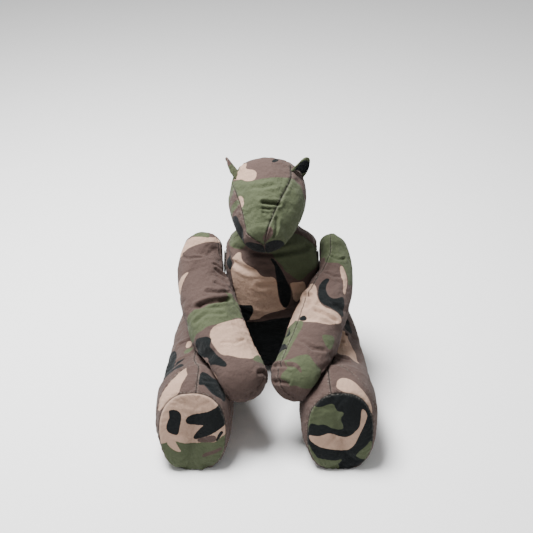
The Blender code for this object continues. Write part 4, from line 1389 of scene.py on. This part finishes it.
def new_ear(side, shift):
    """Two layers of cloth turned into one soft cup, closed round a rolled edge."""
    grid = ear_grid(side)
    bm = bmesh.new()
    verts = [[bm.verts.new(point + shift) for point in row] for row in grid]
    for low, high in zip(verts, verts[1:]):
        for j in range(len(low) - 1):
            bm.faces.new((low[j], low[j + 1], high[j + 1], high[j]))
    mesh = bpy.data.meshes.new(f"ear_cloth_{side}")
    bmesh.ops.recalc_face_normals(bm, faces=bm.faces)
    bm.to_mesh(mesh)
    bm.free()
    obj = bpy.data.objects.new(mesh.name, mesh)
    bpy.context.scene.collection.objects.link(obj)
    facing, _ = head_axes()
    if sum(face.normal.dot(facing) * face.area for face in mesh.polygons) < 0:
        mesh.flip_normals()
    bpy.ops.object.select_all(action="DESELECT")
    obj.select_set(True)
    bpy.context.view_layer.objects.active = obj
    layers = obj.modifiers.new("layers", "SOLIDIFY")
    layers.thickness = 2 * EAR_HALF_THICKNESS
    layers.offset = 0
    soft = obj.modifiers.new("soft", "SUBSURF")
    soft.levels = 2
    soft.render_levels = 2
    for modifier in (layers, soft):
        bpy.ops.object.modifier_apply(modifier=modifier.name)
    colour_ear(obj, side, shift)
    return obj


def colour_ear(obj, side, shift):
    """Black inside the cup, green behind and on the rim, brown along the left ear's edge."""
    mesh = obj.data
    mesh.shade_smooth()
    points, normals = points_of(mesh), normals_of(mesh)
    facing, _ = head_axes()
    middle = np.array([np.array(point) for point in ear_grid(side, 10, 6)[3]]).mean(axis=0) + np.array(shift)
    from_middle = np.linalg.norm(points - middle, axis=1)
    inward = normals @ np.array(facing)
    none = np.full(len(points), -PATCH_RANGE)
    above = (points[:, 2] - middle[2] - EAR_EDGE_HEIGHT) * 1000
    brown = np.clip(above, -PATCH_RANGE, PATCH_RANGE)
    lining = np.minimum((inward - EAR_LINING_FACING) * PATCH_RANGE, (EAR_LINING_RADIUS - from_middle) * 1000)
    values = {
        "under_black": none,
        "tan": none,
        "green": np.full(len(points), PATCH_RANGE),
        "over": brown if side == "left" else none,
        "late_tan": none,
        "black": lining,
        "seam": np.full(len(points), float(LONGEST_SEAM_DISTANCE)),
    }
    for name, numbers in values.items():
        mesh.attributes.new(name, "FLOAT", "POINT").data.foreach_set("value", numbers.astype(np.float32))
    layer = mesh.uv_layers.new(name="cloth")
    vertex = np.empty(len(mesh.loops), np.int32)
    mesh.loops.foreach_get("vertex_index", vertex)
    layer.data.foreach_set("uv", points[vertex][:, [0, 2]].astype(np.float32).ravel())


# ---------------------------------------------------------------- settings and operators

class DummySettings(bpy.types.PropertyGroup):
    """Sizes of the cloth's details."""

    pressure: bpy.props.FloatProperty(name="Filling pressure", description="Push of the filling on the cloth",
                                      default=4.0, min=0.0, max=10.0)
    slack: bpy.props.FloatProperty(name="Cloth slack", description="Share by which the cloth is too large",
                                   default=0.03, min=0.0, max=0.2)
    seam_depth: bpy.props.FloatProperty(name="Seam depth", description="Depth of a sewn groove",
                                        default=0.0018, subtype="DISTANCE", unit="LENGTH")
    pucker_length: bpy.props.FloatProperty(name="Pucker length", description="Distance between puckers",
                                           default=0.011, subtype="DISTANCE", unit="LENGTH")
    lumps: bpy.props.FloatProperty(name="Lumps", description="Height of the filling's soft lumps",
                                   default=0.0016, subtype="DISTANCE", unit="LENGTH")
    light: bpy.props.FloatProperty(name="Key light", description="Power of the soft key light in watts",
                                   default=150.0, min=0.0)


class DUMMY_OT_forms(bpy.types.Operator):
    """Sews and stuffs the torso, the head, the arms and the legs"""

    bl_idname = "dummy.forms"
    bl_label = "Make stuffed forms"

    def execute(self, context):
        settings = context.scene.dummy
        shift = world_shift()
        material = camouflage_material()
        forms = all_forms()
        objects = [new_form(form, shift) for form in forms]
        stuff(objects, settings)
        for obj in objects:
            refine(obj)
        note_room(objects)
        for obj, form in zip(objects, forms):
            add_relief(obj, form, settings, shift)
            add_camouflage(obj, form, shift)
            finish_piece(obj, material, form.body, form.nodes)
        return {"FINISHED"}


class DUMMY_OT_ears(bpy.types.Operator):
    """Makes the two cupped ears"""

    bl_idname = "dummy.ears"
    bl_label = "Make ears"

    def execute(self, context):
        shift = world_shift()
        material = bpy.data.materials["camouflage_cloth"]
        for side in SIDES:
            obj = new_ear(side, shift)
            finish_piece(obj, material, "head", (f"ear_front_{side}", f"ear_back_{side}"))
        return {"FINISHED"}


class DUMMY_OT_seams(bpy.types.Operator):
    """Gives the turned-in seam edges between the forms their tape"""

    bl_idname = "dummy.seams"
    bl_label = "Finish seam edges"

    def execute(self, context):
        material = thread_material()
        for name in ("neck_seam_band", "shoulder_seam_left", "shoulder_seam_right", "hip_seam_left",
                     "hip_seam_right"):
            for place in frame["nodes"][name].material_slots:
                place.material = material
        return {"FINISHED"}


class DUMMY_OT_stage(bpy.types.Operator):
    """Sets the dummy on a pale floor under soft light, with its camera"""

    bl_idname = "dummy.stage"
    bl_label = "Make stage"

    def execute(self, context):
        bpy.ops.mesh.primitive_plane_add(size=FLOOR_SIZE, location=(0, 0, 0))
        floor = context.object
        floor.name = "floor"
        floor.data.materials.append(pale_material())
        world = bpy.data.worlds.new("soft_world")
        world.use_nodes = True
        world.node_tree.nodes["Background"].inputs["Color"].default_value = (1, 1, 1, 1)
        world.node_tree.nodes["Background"].inputs["Strength"].default_value = SKY_STRENGTH
        context.scene.world = world
        add_light("key", KEY_PLACE, KEY_SIZE, context.scene.dummy.light)
        bpy.ops.object.camera_add(location=FRONT_PLACE, rotation=(CAMERA_TILT, 0, 0))
        camera = context.object
        camera.name = "front_camera"
        camera.data.lens = CAMERA_LENS
        camera.data.sensor_width = CAMERA_SENSOR
        context.scene.camera = camera
        return {"FINISHED"}


def add_light(name, place, size, power):
    """A square light that points at the dummy."""
    bpy.ops.object.light_add(type="AREA", location=place)
    light = bpy.context.object
    light.name = name
    light.data.size = size
    light.data.energy = power
    light.rotation_euler = (KEY_AIM - Vector(place)).to_track_quat("-Z", "Y").to_euler()


def finish_piece(obj, material, body, nodes):
    """Gives a stuffed piece its cloth and its place in the frame."""
    obj.data.materials.clear()
    obj.data.materials.append(material)
    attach(obj, body)
    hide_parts(*nodes)


class DUMMY_PT_panel(bpy.types.Panel):
    """The dummy's settings and steps"""

    bl_label = "Training dummy"
    bl_space_type = "VIEW_3D"
    bl_region_type = "UI"
    bl_category = "Dummy"

    def draw(self, context):
        for name in ("pressure", "slack", "seam_depth", "pucker_length", "lumps", "light"):
            self.layout.prop(context.scene.dummy, name)
        for name in STEPS:
            self.layout.operator(f"dummy.{name}")


STEPS = ("forms", "ears", "seams", "stage")
CLASSES = (DummySettings, DUMMY_OT_forms, DUMMY_OT_ears, DUMMY_OT_seams, DUMMY_OT_stage, DUMMY_PT_panel)


def register():
    for kind in CLASSES:
        bpy.utils.register_class(kind)
    bpy.types.Scene.dummy = bpy.props.PointerProperty(type=DummySettings)


def unregister():
    del bpy.types.Scene.dummy
    for kind in reversed(CLASSES):
        bpy.utils.unregister_class(kind)


def main():
    register()
    bpy.ops.dummy.forms()
    bpy.ops.dummy.ears()
    bpy.ops.dummy.seams()
    bpy.ops.dummy.stage()


if __name__ == "__main__":
    main()
